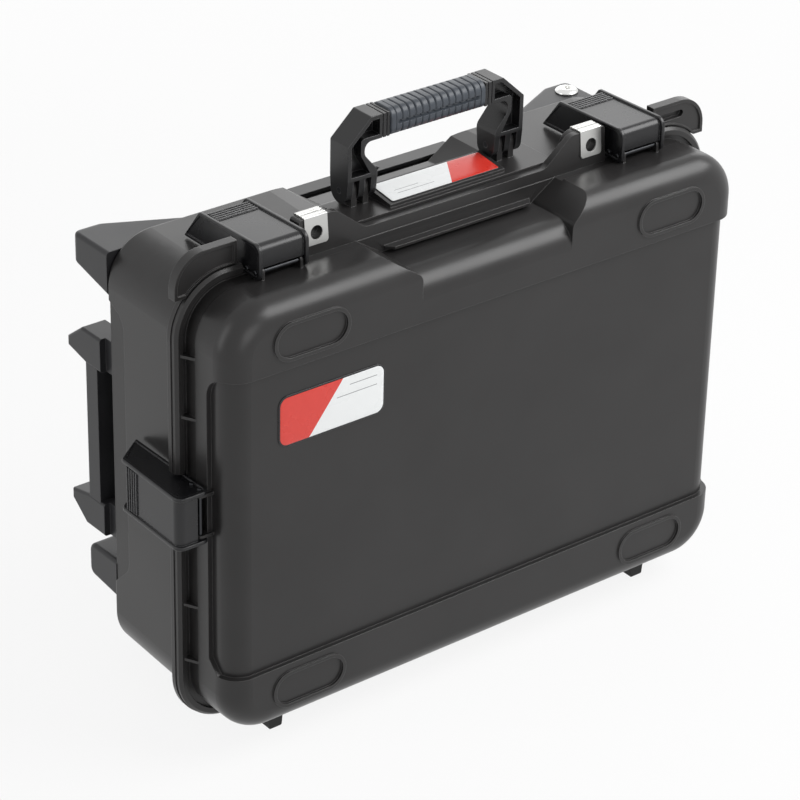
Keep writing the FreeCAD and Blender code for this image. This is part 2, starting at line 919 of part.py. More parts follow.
def handle_ears():
    """Ears on the pad that the carry handle turns on."""
    y, z = handle_centre()
    ears = []
    for x in ear_positions():
        barrel = rod((x, y, z), "x", ear_radius, ear_thickness)
        post = centred((x, y, (z + top_z) / 2), (ear_thickness, 2 * ear_radius, z - top_z))
        ears.append(barrel.fuse(post))
    return ears


def body_pad():
    """Raised pad for the carry handle and the sloping bed for the label."""
    top = top_z + pad_rise
    y = (body_front_y, body_front_y + pad_depth)
    pad = extrude([(y[0], top_z - wall / 2), (y[0], top), (y[1], top, pad_radius),
                   (y[1] + pad_rise, top_z - dip_floor_front - wall / 2),
                   (y[0] + wall, top_z - dip_floor_front - wall / 2)],
                  "x", -pad_half, pad_half)
    start = body_front_y + bed_start
    bed = extrude([(start, top - wall), (start, top + bed_rise_front),
                   (start + bed_depth, top + bed_rise_back), (start + bed_depth, top - wall)],
                  "x", -bed_half, bed_half)
    return [pad, bed]


def dip(y):
    """Hollow along the top behind the handle pad, deeper towards the back."""
    ends = []
    for place_y, floor in ((y[0], dip_floor_front), (y[1], dip_floor)):
        half = [(dip_floor_half, top_z - floor), (dip_mid_half, top_z - dip_mid),
                (dip_edge_half, top_z), (dip_edge_half, top_z + overrun)]
        left = [(-x, z) for x, z in reversed(half)]
        ends.append(outline(half + left, "y", place_y))
    return Part.makeLoft(ends, True, True)


def wheel_centre():
    """Wheel axle line: its y and z."""
    return rear_y - wheel_radius, wheel_radius + wheel_floor_gap


def wheel_wells(grow):
    """Room for the two wheels in the lower back corners."""
    y, z = wheel_centre()
    width = wheel_width + 2 * wheel_gap + 2 * grow
    return [rod((sign * wheel_x, y, z), "x", wheel_radius + wheel_gap + grow, width)
            for sign in (-1, 1)]


def body_shell():
    """Rear half of the case with its flange, pad, ears and wheel wells."""
    z_half = case_height / 2
    front = outline(rectangle((-side_x, side_x), (mid_z - z_half, mid_z + z_half),
                              corner_radius), "y", body_front_y)
    back = outline(rectangle((-back_x, back_x),
                             (mid_z - z_half + bottom_taper, mid_z + z_half - bottom_taper),
                             corner_radius), "y", back_y)
    hull = Part.makeLoft([front, back], True, True)
    hull = round_edges(hull, back_edge_radius, lambda m, t: abs(m.y - back_y) < overrun / 10)
    bead = flange_prism((body_front_y, body_front_y + bead_depth), bead_rise)
    low, high = mid_z - side_band_low, mid_z + side_band_high
    reach = side_band_depth
    band = extrude([(back_y - reach, low + reach, side_band_radius),
                    (back_y - reach, high - reach / 2, side_band_radius),
                    (back_y + overrun, high), (back_y + overrun, low)],
                   "x", back_x - side_band_sink, side_x + overrun)
    hull = hull.cut(pair(band))
    dip_y = (body_front_y + pad_depth - pad_radius, back_y + overrun)
    hull = hull.cut(dip(dip_y)).fuse([bead] + body_pad() + body_ears())
    frames = latch_frames()
    hull = hull.cut([moved(latch_zone((depth - overrun, latch_tail + 2 * overrun)), spot)
                     for name, spot, depth in frames])
    hull = hull.fuse(pair(corner_guard()) + [moved(body_striker(depth), spot)
                                             for name, spot, depth in frames])
    ears = []
    for ear in handle_ears():
        ears += pair(ear)
    hull = hull.fuse(ears)
    cavity = extrude(rectangle((-cavity_x, cavity_x),
                               (mid_z - cavity_half_z, mid_z + cavity_half_z),
                               corner_radius - cavity_margin),
                     "y", body_front_y - overrun, back_y - wall)
    cavity = cavity.cut(box((-dip_mid_half - wall, dip_mid_half + wall),
                            (dip_y[0] - wall, back_y),
                            (top_z - dip_floor - wall, top_z)))
    cavity = cavity.cut(wheel_wells(wall))
    knuckles, room, bores = hinge_parts(False)
    y, z = handle_centre()
    pins = [rod((sign * (handle_half - handle_arm_width / 2), y, z), "x",
                handle_pin_radius + shaft_gap, 2 * handle_arm_width) for sign in (-1, 1)]
    hull = hull.cut([cavity, guard_slot()] + wheel_wells(0) + plate_holes(4 * lip_depth) + room)
    hull = hull.fuse(knuckles)
    return hull.cut(bores + pins + all_screw_bores()).removeSplitter()


def lid_seal():
    """Elastic ring in the lid's groove."""
    return seal_ring(0, (parting_y - seal_depth, parting_y - running_gap / 3))


def padlock_plate(lid_side):
    """Bent steel plate round one half of a padlock ear."""
    top = top_z + ear_top
    t = plate_thickness
    slope = (strip_foot - strip_top) / ear_top
    if lid_side:
        top_y = parting_y - strip_top
        low_y = top_y - slope * plate_drop
        y = (top_y, parting_y - seam_gap / 2)
        points = [(low_y, top - plate_drop), (top_y, top), (y[1], top), (y[1], top + t),
                  (top_y - t / 2, top + t, t / 2), (low_y - t, top - plate_drop)]
    else:
        y = (body_front_y + seam_gap / 2, body_front_y + body_ear_depth)
        points = [(y[0], top), (y[1], top), (y[1], top - plate_drop),
                  (y[1] + t, top - plate_drop), (y[1] + t, top + t, t / 2), (y[0], top + t)]
    half = plate_width / 2
    plate = extrude(points, "x", plate_x - half, plate_x + half)
    low = top - plate_drop
    rounded = extrude([(plate_x - half, low, plate_corner), (plate_x - half, top + 2 * t),
                       (plate_x + half, top + 2 * t), (plate_x + half, low, plate_corner)],
                      "y", parting_y - 4 * lip_depth, parting_y + 4 * lip_depth)
    plate = plate.common(rounded)
    count = plate_lid_ridge_count if lid_side else plate_body_ridge_count
    pitch = (y[1] - y[0]) / count
    ridges = [centred((plate_x, y[0] + i * pitch + pitch / 2, top + t),
                      (plate_width, plate_ridge, plate_ridge)) for i in range(count)]
    plate = plate.fuse(ridges)
    hole = rod((plate_x, parting_y, top - plate_hole_below_top), "y", plate_hole_radius,
               8 * lip_depth)
    return cut(plate, [hole])


def carry_handle():
    """Two hollow arms with bevelled shoulders and a core under the grip."""
    y, z = handle_centre()
    high = z + handle_reach
    inner = handle_inner
    waist = inner + handle_waist
    bar_low = high - handle_bar
    knee = bar_low - handle_knee_drop
    shoulder = z + handle_shoulder
    arm = [(handle_half, z - handle_foot_radius), (handle_half, high - handle_bevel, 2 * overrun),
           (handle_half - handle_bevel_width, high, 2 * overrun), (0, high), (0, bar_low),
           (waist, bar_low, handle_knee_radius), (waist, knee, handle_knee_radius),
           (inner, shoulder, handle_shoulder_radius), (inner, z - handle_foot_radius)]
    side = extrude(arm, "y", y - handle_depth / 2, y + handle_depth / 2)
    foot = rod((handle_half - handle_arm_width / 2, y, z), "x", handle_foot_radius,
               handle_arm_width)
    side = side.cut(box((inner - overrun, handle_half + overrun),
                        (y - handle_depth, y + handle_depth),
                        (z - 2 * handle_foot_radius, z)))
    taper = extrude([(y - handle_depth / 2, high + overrun), (y + handle_depth / 2, high + overrun),
                     (y + handle_depth / 2, z + handle_foot_radius), (y + handle_foot_radius, z),
                     (y - handle_foot_radius, z), (y - handle_depth / 2, z + handle_foot_radius)],
                    "x", -overrun, handle_half + overrun)
    side = side.common(taper).fuse(foot)
    pocket_low = z + ear_slot_radius + handle_wall
    pocket_half = waist + handle_wall
    pocket = [(handle_half - handle_wall, pocket_low),
              (handle_half - handle_wall, high - handle_bevel - handle_wall / 3),
              (handle_half - handle_bevel - handle_wall, high - handle_wall),
              (grip_half + 2 * grip_collar, high - handle_wall),
              (grip_half + 2 * grip_collar, bar_low + handle_wall),
              (pocket_half, bar_low + handle_wall, handle_knee_radius / 2),
              (pocket_half, knee, handle_knee_radius),
              (inner + 2 * handle_wall, pocket_low)]
    pockets = []
    for sign in (-1, 1):
        start = y + sign * handle_wall / 2
        end = y + sign * handle_depth
        pockets.append(extrude(pocket, "y", min(start, end), max(start, end)))
    slots = []
    for x in ear_positions():
        slot = rod((x, y, z), "x", ear_slot_radius, knuckle_slot)
        below = centred((x, y, z - ear_slot_radius), (knuckle_slot, 2 * handle_depth,
                                                      2 * ear_slot_radius))
        swing = box((x - knuckle_slot / 2, x + knuckle_slot / 2),
                    (y - handle_depth, y + handle_depth),
                    (z - ear_slot_radius, z + ear_slot_radius))
        slots += [slot, below, swing]
    bore = rod((handle_half - handle_arm_width / 2, y, z), "x",
               handle_pin_radius + shaft_gap, 2 * handle_arm_width)
    core_x = (-overrun, grip_half + grip_collar)
    core = box(core_x, (y - grip_core_depth / 2, y + grip_core_depth / 2),
               (high - handle_bar / 2 - grip_core_height / 2,
                high - handle_bar / 2 + grip_core_height / 2))
    bar_room = box((-overrun, grip_half), (y - handle_depth, y + handle_depth),
                   (high - handle_bar - overrun, high + overrun))
    rings = []
    middle = (high + bar_low) / 2
    for place_x in collar_places:
        ring = centred((place_x, y, middle), (collar_groove, 2 * handle_depth, 2 * handle_bar))
        rings.append(ring.cut(centred((place_x, y, middle),
                                      (2 * collar_groove, handle_depth - 2 * collar_groove,
                                       handle_bar - 2 * collar_groove))))
    side = side.cut(pockets + slots + rings + [bar_room]).fuse(core)
    side = side.cut([bore])
    return join([side.cut(box((-handle_half, 0), (y - handle_depth, y + handle_depth),
                              (0, high + overrun))),
                 flipped(side.cut(box((-handle_half, 0), (y - handle_depth, y + handle_depth),
                                      (0, high + overrun))))])


def handle_grip():
    """Soft ribbed sleeve round the handle's core."""
    y, z = handle_centre()
    mid = z + handle_reach - handle_bar / 2
    half_y = grip_depth / 2
    half_z = grip_height / 2
    sleeve = extrude(rectangle((y - half_y, y + half_y), (mid - half_z, mid + half_z), grip_round),
                     "x", -grip_half + running_gap, grip_half - running_gap)
    core = box((-handle_half, handle_half), (y - grip_core_depth / 2, y + grip_core_depth / 2),
               (mid - grip_core_height / 2, mid + grip_core_height / 2))
    rings = []
    field = 2 * grip_half - 2 * grip_collar
    pitch = field / grip_rib_count
    cutter_in = extrude(rectangle((y - half_y + grip_rib_cut, y + half_y - grip_rib_cut),
                                  (mid - half_z + grip_rib_cut, mid + half_z - grip_rib_cut),
                                  grip_round - grip_rib_cut), "x", -grip_half, grip_half)
    for i in range(grip_rib_count + 1):
        x = -field / 2 + i * pitch
        band = box((x - grip_rib_gap / 2, x + grip_rib_gap / 2),
                   (y - grip_depth, y + grip_depth), (mid - grip_height, mid + grip_height))
        rings.append(band.cut(cutter_in))
    groove = box((-field / 2 + grip_collar, field / 2 - grip_collar),
                 (y - half_y - overrun, y - half_y + grip_groove_cut),
                 (mid - grip_groove_height / 2, mid + grip_groove_height / 2))
    return cut(sleeve, [core, groove] + rings)


def label_plate(width, height, radius, rim):
    """Thin plate in the XZ plane with a raised rim, face towards -Y."""
    x = (-width / 2, width / 2)
    z = (-height / 2, height / 2)
    plate = extrude(rectangle(x, z, radius), "y", -label_thickness, 0)
    if rim <= 0:
        return plate
    field = extrude(rectangle((x[0] + rim, x[1] - rim), (z[0] + rim, z[1] - rim), radius - rim),
                    "y", -label_thickness - overrun, -label_thickness / 2)
    return cut(plate, [field])


def front_label():
    """Plate on the lid's lowered panel."""
    plate = label_plate(front_label_width, front_label_height, front_label_radius,
                        front_label_rim)
    plate.translate(V(front_label_x, front_y + panel_step, mid_z + front_label_rise))
    return plate


def top_label():
    """Plate on the sloping bed between the handle's ears."""
    plate = label_plate(top_label_width, top_label_depth, top_label_radius, 0)
    rise = bed_rise_back - bed_rise_front
    tilt = math.degrees(math.atan2(rise, bed_depth))
    plate.rotate(V(0, 0, 0), AXES["x"], tilt - 90)
    y = body_front_y + bed_start + bed_depth / 2
    z = top_z + pad_rise + (bed_rise_front + bed_rise_back) / 2
    plate.translate(V(0, y, z))
    return plate


def tube(size, inner, x, z):
    """Hollow rectangular tube, upright."""
    y = back_y + tube_offset
    outer = box((x - size[0] / 2, x + size[0] / 2), (y - size[1] / 2, y + size[1] / 2), z)
    outer = round_edges(outer, tube_wall, upright)
    hole = box((x - inner[0] / 2, x + inner[0] / 2), (y - inner[1] / 2, y + inner[1] / 2),
               (z[0] - overrun, z[1] + overrun))
    return cut(outer, [hole])


def tube_hole(size):
    """Inside size of a tube."""
    return size[0] - 2 * tube_wall, size[1] - 2 * tube_wall


def tube_tops():
    """Upper ends of the outer, middle and inner tubes."""
    grip_low = top_z - pull_top_drop - pull_core_height
    middle = grip_low - grip_gap - bush_height
    return middle - tube_top_step, middle, grip_low + tube_socket


def tubes(size, foot, top):
    """A pair of equal tubes."""
    tube_inner = tube_hole(size)
    return [tube(size, tube_inner, sign * tube_x, (foot, top)) for sign in (-1, 1)]


def tube_bushes(size, inner, foot):
    """Plastic collars round the mouths of a pair of tubes."""
    outer = (size[0] + 2 * bush_wall, size[1] + 2 * bush_wall)
    hole = (inner[0] + 2 * bush_gap, inner[1] + 2 * bush_gap)
    return [tube(outer, hole, sign * tube_x, (foot, foot + bush_height)) for sign in (-1, 1)]


def pull_grip():
    """Cross bar of the pull handle with a finger lip on its front."""
    top = top_z - pull_top_drop
    front = back_y + pull_front
    back = front + pull_depth
    side = [(front, top - pull_lip), (front, top), (front + pull_flat, top, overrun),
            (back, top - pull_depth + pull_flat, pull_round / 2),
            (back, top - pull_core_height, pull_round / 2),
            (front + pull_core_inset, top - pull_core_height),
            (front + pull_core_inset, top - pull_lip)]
    bar = extrude(side, "x", -pull_half, pull_half)
    bar = round_edges(bar, pull_round,
                      lambda m, t: upright(m, t) and m.y > front + pull_flat)
    seat = tube_tops()[2]
    tube_y = back_y + tube_offset
    size = (inner_tube[0] + 2 * shaft_gap, inner_tube[1] + 2 * shaft_gap)
    channel = (tube_x + 2 * rod_radius, push_bar_depth / 2 + button_gap)
    tools = [box((-channel[0], channel[0]), (tube_y - channel[1], tube_y + channel[1]),
                 (seat, top - button_stem + button_travel + push_bar + button_gap))]
    for sign in (-1, 1):
        tools.append(centred((sign * tube_x, tube_y, seat - pull_core_height / 2),
                             (size[0], size[1], pull_core_height)))
    y = back_y + button_offset
    pocket_floor = top - button_stem - button_travel
    tools.append(box((-button_length / 2 - button_gap, button_length / 2 + button_gap),
                     (y - button_depth / 2 - button_gap, y + button_depth / 2 + button_gap),
                     (pocket_floor, top + overrun)))
    return cut(bar, tools)


def pull_button():
    """Release button with the hidden bar that presses both push rods."""
    top = top_z - pull_top_drop + button_rise
    y = back_y + button_offset
    low = top - button_rise - button_stem + button_travel
    key = box((-button_length / 2, button_length / 2), (y - button_depth / 2, y + button_depth / 2),
              (low, top))
    key = round_edges(key, 2 * overrun, upright)
    key = round_edges(key, overrun, lambda m, t: abs(m.z - top) < overrun / 10)
    tube_y = back_y + tube_offset
    bar = box((-tube_x - rod_radius, tube_x + rod_radius),
              (tube_y - push_bar_depth / 2, tube_y + push_bar_depth / 2), (low, low + push_bar))
    return join([key, bar])


def button_springs():
    """Two coil springs under the button."""
    floor = top_z - pull_top_drop - button_stem - button_travel
    low = top_z - pull_top_drop - button_stem + button_travel
    free = low - floor
    springs = []
    for sign in (-1, 1):
        x = sign * button_length / 4
        radius = spring_coil_radius
        rise = free - 2 * spring_wire - 2 * running_gap
        helix = Part.makeHelix(rise / spring_turns, rise, radius)
        start = V(radius, 0, 0)
        circle = Part.Wire(Part.makeCircle(spring_wire, start, AXES["y"]))
        coil = Part.Wire(helix).makePipeShell([circle], True, False)
        coil.translate(V(x, back_y + button_offset, floor + spring_wire + running_gap))
        springs.append(coil)
    print("spring: least gap between its turns %.2f" % (rise / spring_turns - 2 * spring_wire))
    return springs


def clamp_bracket(z):
    """Bracket across the back that holds both outer tubes."""
    y = (back_y, back_y + bracket_depth)
    half = bracket_height / 2
    points = [(-bracket_half, y[0]), (-bracket_half + bracket_depth / 2, y[1], bracket_round),
              (bracket_half - bracket_depth / 2, y[1], bracket_round), (bracket_half, y[0])]
    block = extrude(points, "z", z - half, z + half)
    between = tube_x - outer_tube[0] / 2 - 2 * bush_wall
    waist = box((-between, between), (y[0] + 2 * bracket_round, y[1] + overrun),
                (z - half - overrun, z + half + overrun))
    tube_y = back_y + tube_offset
    holes = []
    for sign in (-1, 1):
        holes.append(box((sign * tube_x - outer_tube[0] / 2 - shaft_gap,
                          sign * tube_x + outer_tube[0] / 2 + shaft_gap),
                         (tube_y - outer_tube[1] / 2 - shaft_gap,
                          tube_y + outer_tube[1] / 2 + shaft_gap),
                         (z - bracket_height, z + bracket_height)))
    bores = [screw_bore(x, back_y + 2 * bracket_round, zz) for x, zz in bracket_screws(z)]
    return cut(block, [waist] + holes + bores)


def bracket_screws(z):
    """Places of the screws in one bracket."""
    reach = tube_x / 2
    step = bracket_height / 4
    return [(sx * reach, z + sz * step) for sx in (-1, 1) for sz in (-1, 1)]


def screw_bore(x, face_y, z):
    """Hole for one screw that enters from behind."""
    return rod((x, face_y, z), "y", screw_radius + shaft_gap, 2 * screw_length + 2 * overrun)


def screw(x, face_y, z, length=screw_length):
    """Pan-head screw driven towards the case, with a cross recess."""
    shank = Part.makeCylinder(screw_radius, length, V(x, face_y, z), -AXES["y"])
    head = Part.makeCylinder(screw_head_radius, screw_head_height, V(x, face_y, z), AXES["y"])
    head = round_edges(head, screw_head_height / 2,
                       lambda m, t: abs(m.y - face_y - screw_head_height) < overrun / 10)
    depth = (face_y + screw_head_height / 2, face_y + screw_head_height + overrun)
    long_half = screw_head_radius / 2
    thin_half = screw_drive / 2
    slot_a = box((x - long_half, x + long_half), depth, (z - thin_half, z + thin_half))
    slot_b = box((x - thin_half, x + thin_half), depth, (z - long_half, z + long_half))
    return cut(join([shank, head]), [slot_a, slot_b])


def skid_screw_places():
    """Screws that hold the two skids."""
    x = skid_outer_x - (skid_width + skid_neck) / 2
    heights = (mid_z - skid_low + skid_wedge_height / 2, mid_z + skid_high - skid_wedge_height / 2)
    return [(sign * x, height) for sign in (-1, 1) for height in heights]


def all_screw_bores():
    """Pilot holes in the back wall for every screw."""
    bores = []
    for level in (upper_bracket_z, lower_bracket_z):
        bores += [screw_bore(x, back_y, z) for x, z in bracket_screws(level)]
    bores += [screw_bore(x, back_y, z) for x, z in skid_screw_places()]
    bores += [screw_bore(x, back_y, z) for x, z in block_screw_places()]
    return bores


def block_screw_places():
    """Screws that hold the upper corner blocks."""
    x = block_inner_x + block_side
    z = mid_z + block_top - block_side / 2
    return [(sign * x, z) for sign in (-1, 1)]


def corner_block():
    """Upper corner block on the right, thinner towards the middle."""
    top = mid_z + block_top
    rear = back_y + block_reach
    side = [(back_y, top - block_side - block_slope), (rear, top - block_side, block_round),
            (rear, top, block_round), (back_y, top)]
    plan = [(block_inner_x, back_y), (block_inner_x, back_y + block_inner_reach, block_round),
            (block_tip_x, rear, block_round),
            (block_outer_x, rear - block_round / 2, block_round), (block_outer_x, back_y)]
    low = top - block_side - block_slope
    block = extrude(side, "x", block_inner_x, block_outer_x)
    block = block.common(extrude(plan, "z", low - overrun, top + overrun))
    block = round_edges(block, block_edge,
                        lambda m, t: m.x > block_outer_x - snap and m.y > back_y + snap)
    x, z = block_screw_places()[1]
    face_y = back_y + block_inner_reach / 2
    well = rod((x, face_y + block_reach / 2, z), "y", screw_well_radius, block_reach)
    return cut(block, [screw_bore(x, back_y, z), well])


def block_screws():
    """The screws of the corner blocks, sunk in their wells."""
    return [screw(x, back_y + block_inner_reach / 2, z) for x, z in block_screw_places()]


def block_cap():
    """Bright cap screw on top of the right-hand corner block."""
    top = mid_z + block_top
    x = block_outer_x - cap_inset_x
    y = back_y + block_reach - cap_inset_y
    disc = Part.makeCylinder(cap_radius, cap_height / 2, V(x, y, top), AXES["z"])
    cone = Part.makeCone(cap_radius, cap_top_radius, cap_height / 2,
                         V(x, y, top + cap_height / 2), AXES["z"])
    corners = [math.radians(full_turn * i / 6) for i in range(6)]
    points = [(x + cap_hex / 2 * math.cos(a), y + cap_hex / 2 * math.sin(a)) for a in corners]
    socket = extrude(points, "z", top + cap_height / 3, top + 2 * cap_height)
    return cut(join([disc, cone]), [socket])


def skid():
    """Right-hand runner on the back: two wedges joined by an upright bar."""
    inner_x = skid_outer_x - skid_width
    front = back_y + skid_front
    tip = back_y + skid_reach
    neck_x = (inner_x, skid_outer_x - skid_neck)
    solids = []
    for up, end in ((-1, skid_low), (1, skid_high)):
        near = mid_z + up * (end - skid_wedge_height)
        far = mid_z + up * end
        points = [(front, near), (front, far), (tip - skid_wedge_slope, far, bracket_round / 2),
                  (tip, far - up * skid_chamfer), (tip, near + up * skid_lift),
                  (back_y + skid_bar_front + skid_bar_depth, near)]
        wedge = extrude(points, "x", inner_x, skid_outer_x)
        solids.append(round_edges(wedge, skid_edge,
                                  lambda m, t: m.x > skid_outer_x - snap and m.y > front + snap))
        solids.append(box(neck_x, (back_y, front + overrun), (min(near, far), max(near, far))))
    bar_z = (mid_z - skid_low + skid_wedge_height - overrun,
             mid_z + skid_high - skid_wedge_height + overrun)
    bar_y = back_y + skid_bar_front
    solids.append(box((inner_x + skid_width / 4, skid_outer_x - running_gap),
                      (bar_y, bar_y + skid_bar_depth), bar_z))
    tools = []
    for x, z in skid_screw_places():
        if x > 0:
            tools.append(screw_bore(x, back_y, z))
            tools.append(rod((x, back_y + skid_bar_front / 2 + skid_reach, z), "y",
                             screw_well_radius, 2 * skid_reach))
    return cut(join(solids), tools)


def skid_screws():
    """The screws of both skids."""
    return [screw(x, back_y + skid_bar_front / 2, z) for x, z in skid_screw_places()]


def wheel_carrier():
    """Right-hand carrier: two cheeks, an outer bumper and the rear foot."""
    y, z = wheel_centre()
    top = mid_z - carrier_top
    gap = wheel_width / 2 + wheel_gap
    foot_y = (back_y - rear_foot_depth / 2, back_y + rear_foot_depth)
    cheeks = []
    for x in ((wheel_x + gap, wheel_x + gap + carrier_wall),
              (wheel_x - gap - carrier_wall, wheel_x - gap)):
        points = [(back_y, top), (back_y + carrier_side, top, block_round),
                  (y + 2 * axle_flange, z + axle_flange, 2 * axle_flange - snap),
                  (y + 2 * axle_flange, z - 2 * axle_flange, axle_flange),
                  (back_y, z - 2 * axle_flange)]
        cheeks.append(extrude(points, "x", x[0], x[1]))
    bumper = extrude([(back_y, top - carrier_side - carrier_slope),
                      (back_y + carrier_reach, top - carrier_side, block_round),
                      (back_y + carrier_reach, top, block_round), (back_y, top)],
                     "x", wheel_x + gap + carrier_wall - overrun, carrier_outer_x)
    bumper = round_edges(bumper, block_edge,
                         lambda m, t: m.x > carrier_outer_x - snap and m.y > back_y + snap)
    bridge = box((wheel_x - gap - carrier_wall, wheel_x + gap + carrier_wall),
                 (back_y, back_y + carrier_wall), (top - carrier_wall, top))
    bore = rod((wheel_x, y, z), "x", axle_radius + shaft_gap, 2 * carrier_outer_x)
    return cut(join(cheeks + [bumper, bridge]), [bore])


def rear_feet():
    """Rubber feet under the body, just in front of the wheels."""
    y = (back_y - rear_foot_depth - wheel_radius, back_y - wheel_radius)
    rise = [bottom_taper * (place_y - body_front_y) / body_depth for place_y in y]
    foot = extrude([(y[0], 0), (y[1], 0), (y[1], stand_height + rise[1]),
                    (y[0], stand_height + rise[0])], "x",
                   front_foot_x - front_foot_width / 2, front_foot_x + front_foot_width / 2)
    foot = round_edges(foot, front_foot_round / 2, lambda m, t: abs(m.z) < snap)
    return pair(foot)


def front_feet():
    """Rubber feet under the lid."""
    y = (front_y + front_foot_start, front_y + front_foot_end)
    half = front_foot_width / 2
    foot = extrude([(front_foot_x - half, stand_height),
                    (front_foot_x - half + front_foot_taper, 0),
                    (front_foot_x + half - front_foot_taper, 0),
                    (front_foot_x + half, stand_height)], "y", y[0], y[1])
    foot = round_edges(foot, front_foot_round / 2, lambda m, t: abs(m.z) < snap)
    return pair(foot)


def wheel_tyre(sign):
    """Rubber tread ring."""
    y, z = wheel_centre()
    ring = rod((sign * wheel_x, y, z), "x", wheel_radius, wheel_width)
    ring = round_edges(ring, tyre_thickness / 3, lambda m, t: abs(t.x) < snap)
    hole = rod((sign * wheel_x, y, z), "x", wheel_radius - tyre_thickness, 2 * wheel_width)
    return cut(ring, [hole])


def wheel_hub(sign):
    """Plastic wheel body with a rim, spokes and a bored hub."""
    y, z = wheel_centre()
    x = sign * wheel_x
    rim_out = wheel_radius - tyre_thickness
    rim = rod((x, y, z), "x", rim_out, wheel_rim_width).cut(
        rod((x, y, z), "x", rim_out - wall, 2 * wheel_rim_width))
    hub = rod((x, y, z), "x", wheel_hub_radius, wheel_width)
    spokes = []
    for i in range(wheel_spoke_count):
        spoke = centred((x, y, z + rim_out / 2), (wheel_rim_width * spoke_width_share, wheel_spoke,
                                                  rim_out - wall / 2))
        spoke.rotate(V(x, y, z), AXES["x"], full_turn * i / wheel_spoke_count)
        spokes.append(spoke)
    bore = rod((x, y, z), "x", axle_radius + shaft_gap, 2 * wheel_width)
    return cut(join([rim, hub] + spokes), [bore])


def axle(sign):
    """Headed steel axle through both cheeks."""
    y, z = wheel_centre()
    gap = wheel_width / 2 + wheel_gap + carrier_wall
    shaft = rod((sign * wheel_x, y, z), "x", axle_radius, 2 * gap)
    inner = rod((sign * (wheel_x - gap - axle_flange_height / 2), y, z), "x", axle_flange,
                axle_flange_height)
    return join([shaft, inner])


def push_rods():
    """Rods inside the inner tubes that the button's bar pushes down."""
    y = back_y + tube_offset
    top = top_z - pull_top_drop - button_stem + button_travel
    inside = tube_hole(inner_tube)
    rods = []
    for sign in (-1, 1):
        bar = Part.makeCylinder(rod_radius, rod_length, V(sign * tube_x, y, top - rod_length),
                                AXES["z"])
        shoe = centred((sign * tube_x, y, top - rod_length),
                       (inside[0] - 2 * running_gap, inside[1] - 2 * running_gap, rod_shoe))
        rods.append(join([bar, shoe]))
    return rods


def main():
    os.makedirs("parts", exist_ok=True)
    save("body_shell", body_shell())
    save("lid_shell", lid_shell())
    save("lid_seal", lid_seal())
    save("hinge_pins", hinge_pins())
    lid_plate = padlock_plate(True)
    body_plate = padlock_plate(False)
    for side, name in ((0, "right"), (1, "left")):
        save("padlock_plate_lid_" + name, pair(lid_plate)[side])
        save("padlock_plate_body_" + name, pair(body_plate)[side])
    lever = latch_lever()
    pin_length = latch_width + 2 * latch_pin_head
    pivot_pin = latch_pin(0, pin_length)
    link_pin = latch_pin(link_pin_depth, pin_length)
    frames = latch_frames()
    for name, spot, depth in frames:
        save("latch_lever_" + name, moved(lever, spot))
        save("latch_link_" + name, moved(latch_link(depth), spot))
        save("latch_link_pin_" + name, moved(link_pin, spot))
    save("latch_pivot_pins", [moved(pivot_pin, spot) for name, spot, depth in frames])
    save("carry_handle", carry_handle())
    save("handle_grip", handle_grip())
    y, z = handle_centre()
    save("handle_pins", [rod((sign * (handle_half - handle_arm_width / 2), y, z), "x",
                             handle_pin_radius, handle_arm_width) for sign in (-1, 1)])
    save("front_label", front_label())
    save("top_label", top_label())
    save("front_feet", front_feet())
    save("rear_feet", rear_feet())
    tops = tube_tops()
    save("outer_tubes", tubes(outer_tube, tube_foot, tops[0]))
    save("middle_tubes", tubes(middle_tube, tube_foot + tube_foot_step, tops[1]))
    save("inner_tubes", tubes(inner_tube, tube_foot + 2 * tube_foot_step, tops[2]))
    save("outer_tube_bushes", tube_bushes(outer_tube, middle_tube, tops[0]))
    save("middle_tube_bushes", tube_bushes(middle_tube, inner_tube, tops[1]))
    save("pull_grip", pull_grip())
    save("pull_button", pull_button())
    save("button_springs", button_springs())
    save("push_rods", push_rods())
    save("upper_bracket", clamp_bracket(upper_bracket_z))
    save("lower_bracket", clamp_bracket(lower_bracket_z))
    bracket_set = []
    for level in (upper_bracket_z, lower_bracket_z):
        bracket_set += [screw(x, back_y + 2 * bracket_round, zz, bracket_screw_length)
                        for x, zz in bracket_screws(level)]
    save("bracket_screws", bracket_set)
    block, runner, carrier = corner_block(), skid(), wheel_carrier()
    for side, name in ((0, "right"), (1, "left")):
        save("corner_block_" + name, pair(block)[side])
        save("skid_" + name, pair(runner)[side])
        save("wheel_carrier_" + name, pair(carrier)[side])
        sign = 1 if name == "right" else -1
        save("wheel_tyre_" + name, wheel_tyre(sign))
        save("wheel_hub_" + name, wheel_hub(sign))
        save("axle_" + name, axle(sign))
    save("block_screws", block_screws())
    save("skid_screws", skid_screws())
    save("block_cap", block_cap())


main()
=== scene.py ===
# %% [markdown]
# # A wheeled hard tool case
# This lesson dresses a finished construction model of a hard case. The construction brings every
# shell, latch, hinge and wheel at its real size, in metres. Blender adds what the eye asks for:
# grained plastic, brushed steel, printed labels, a soft rubber grip, and a quiet studio.

# %% Load the fixed frame
import json
import math

import bpy
from mathutils import Matrix, Vector


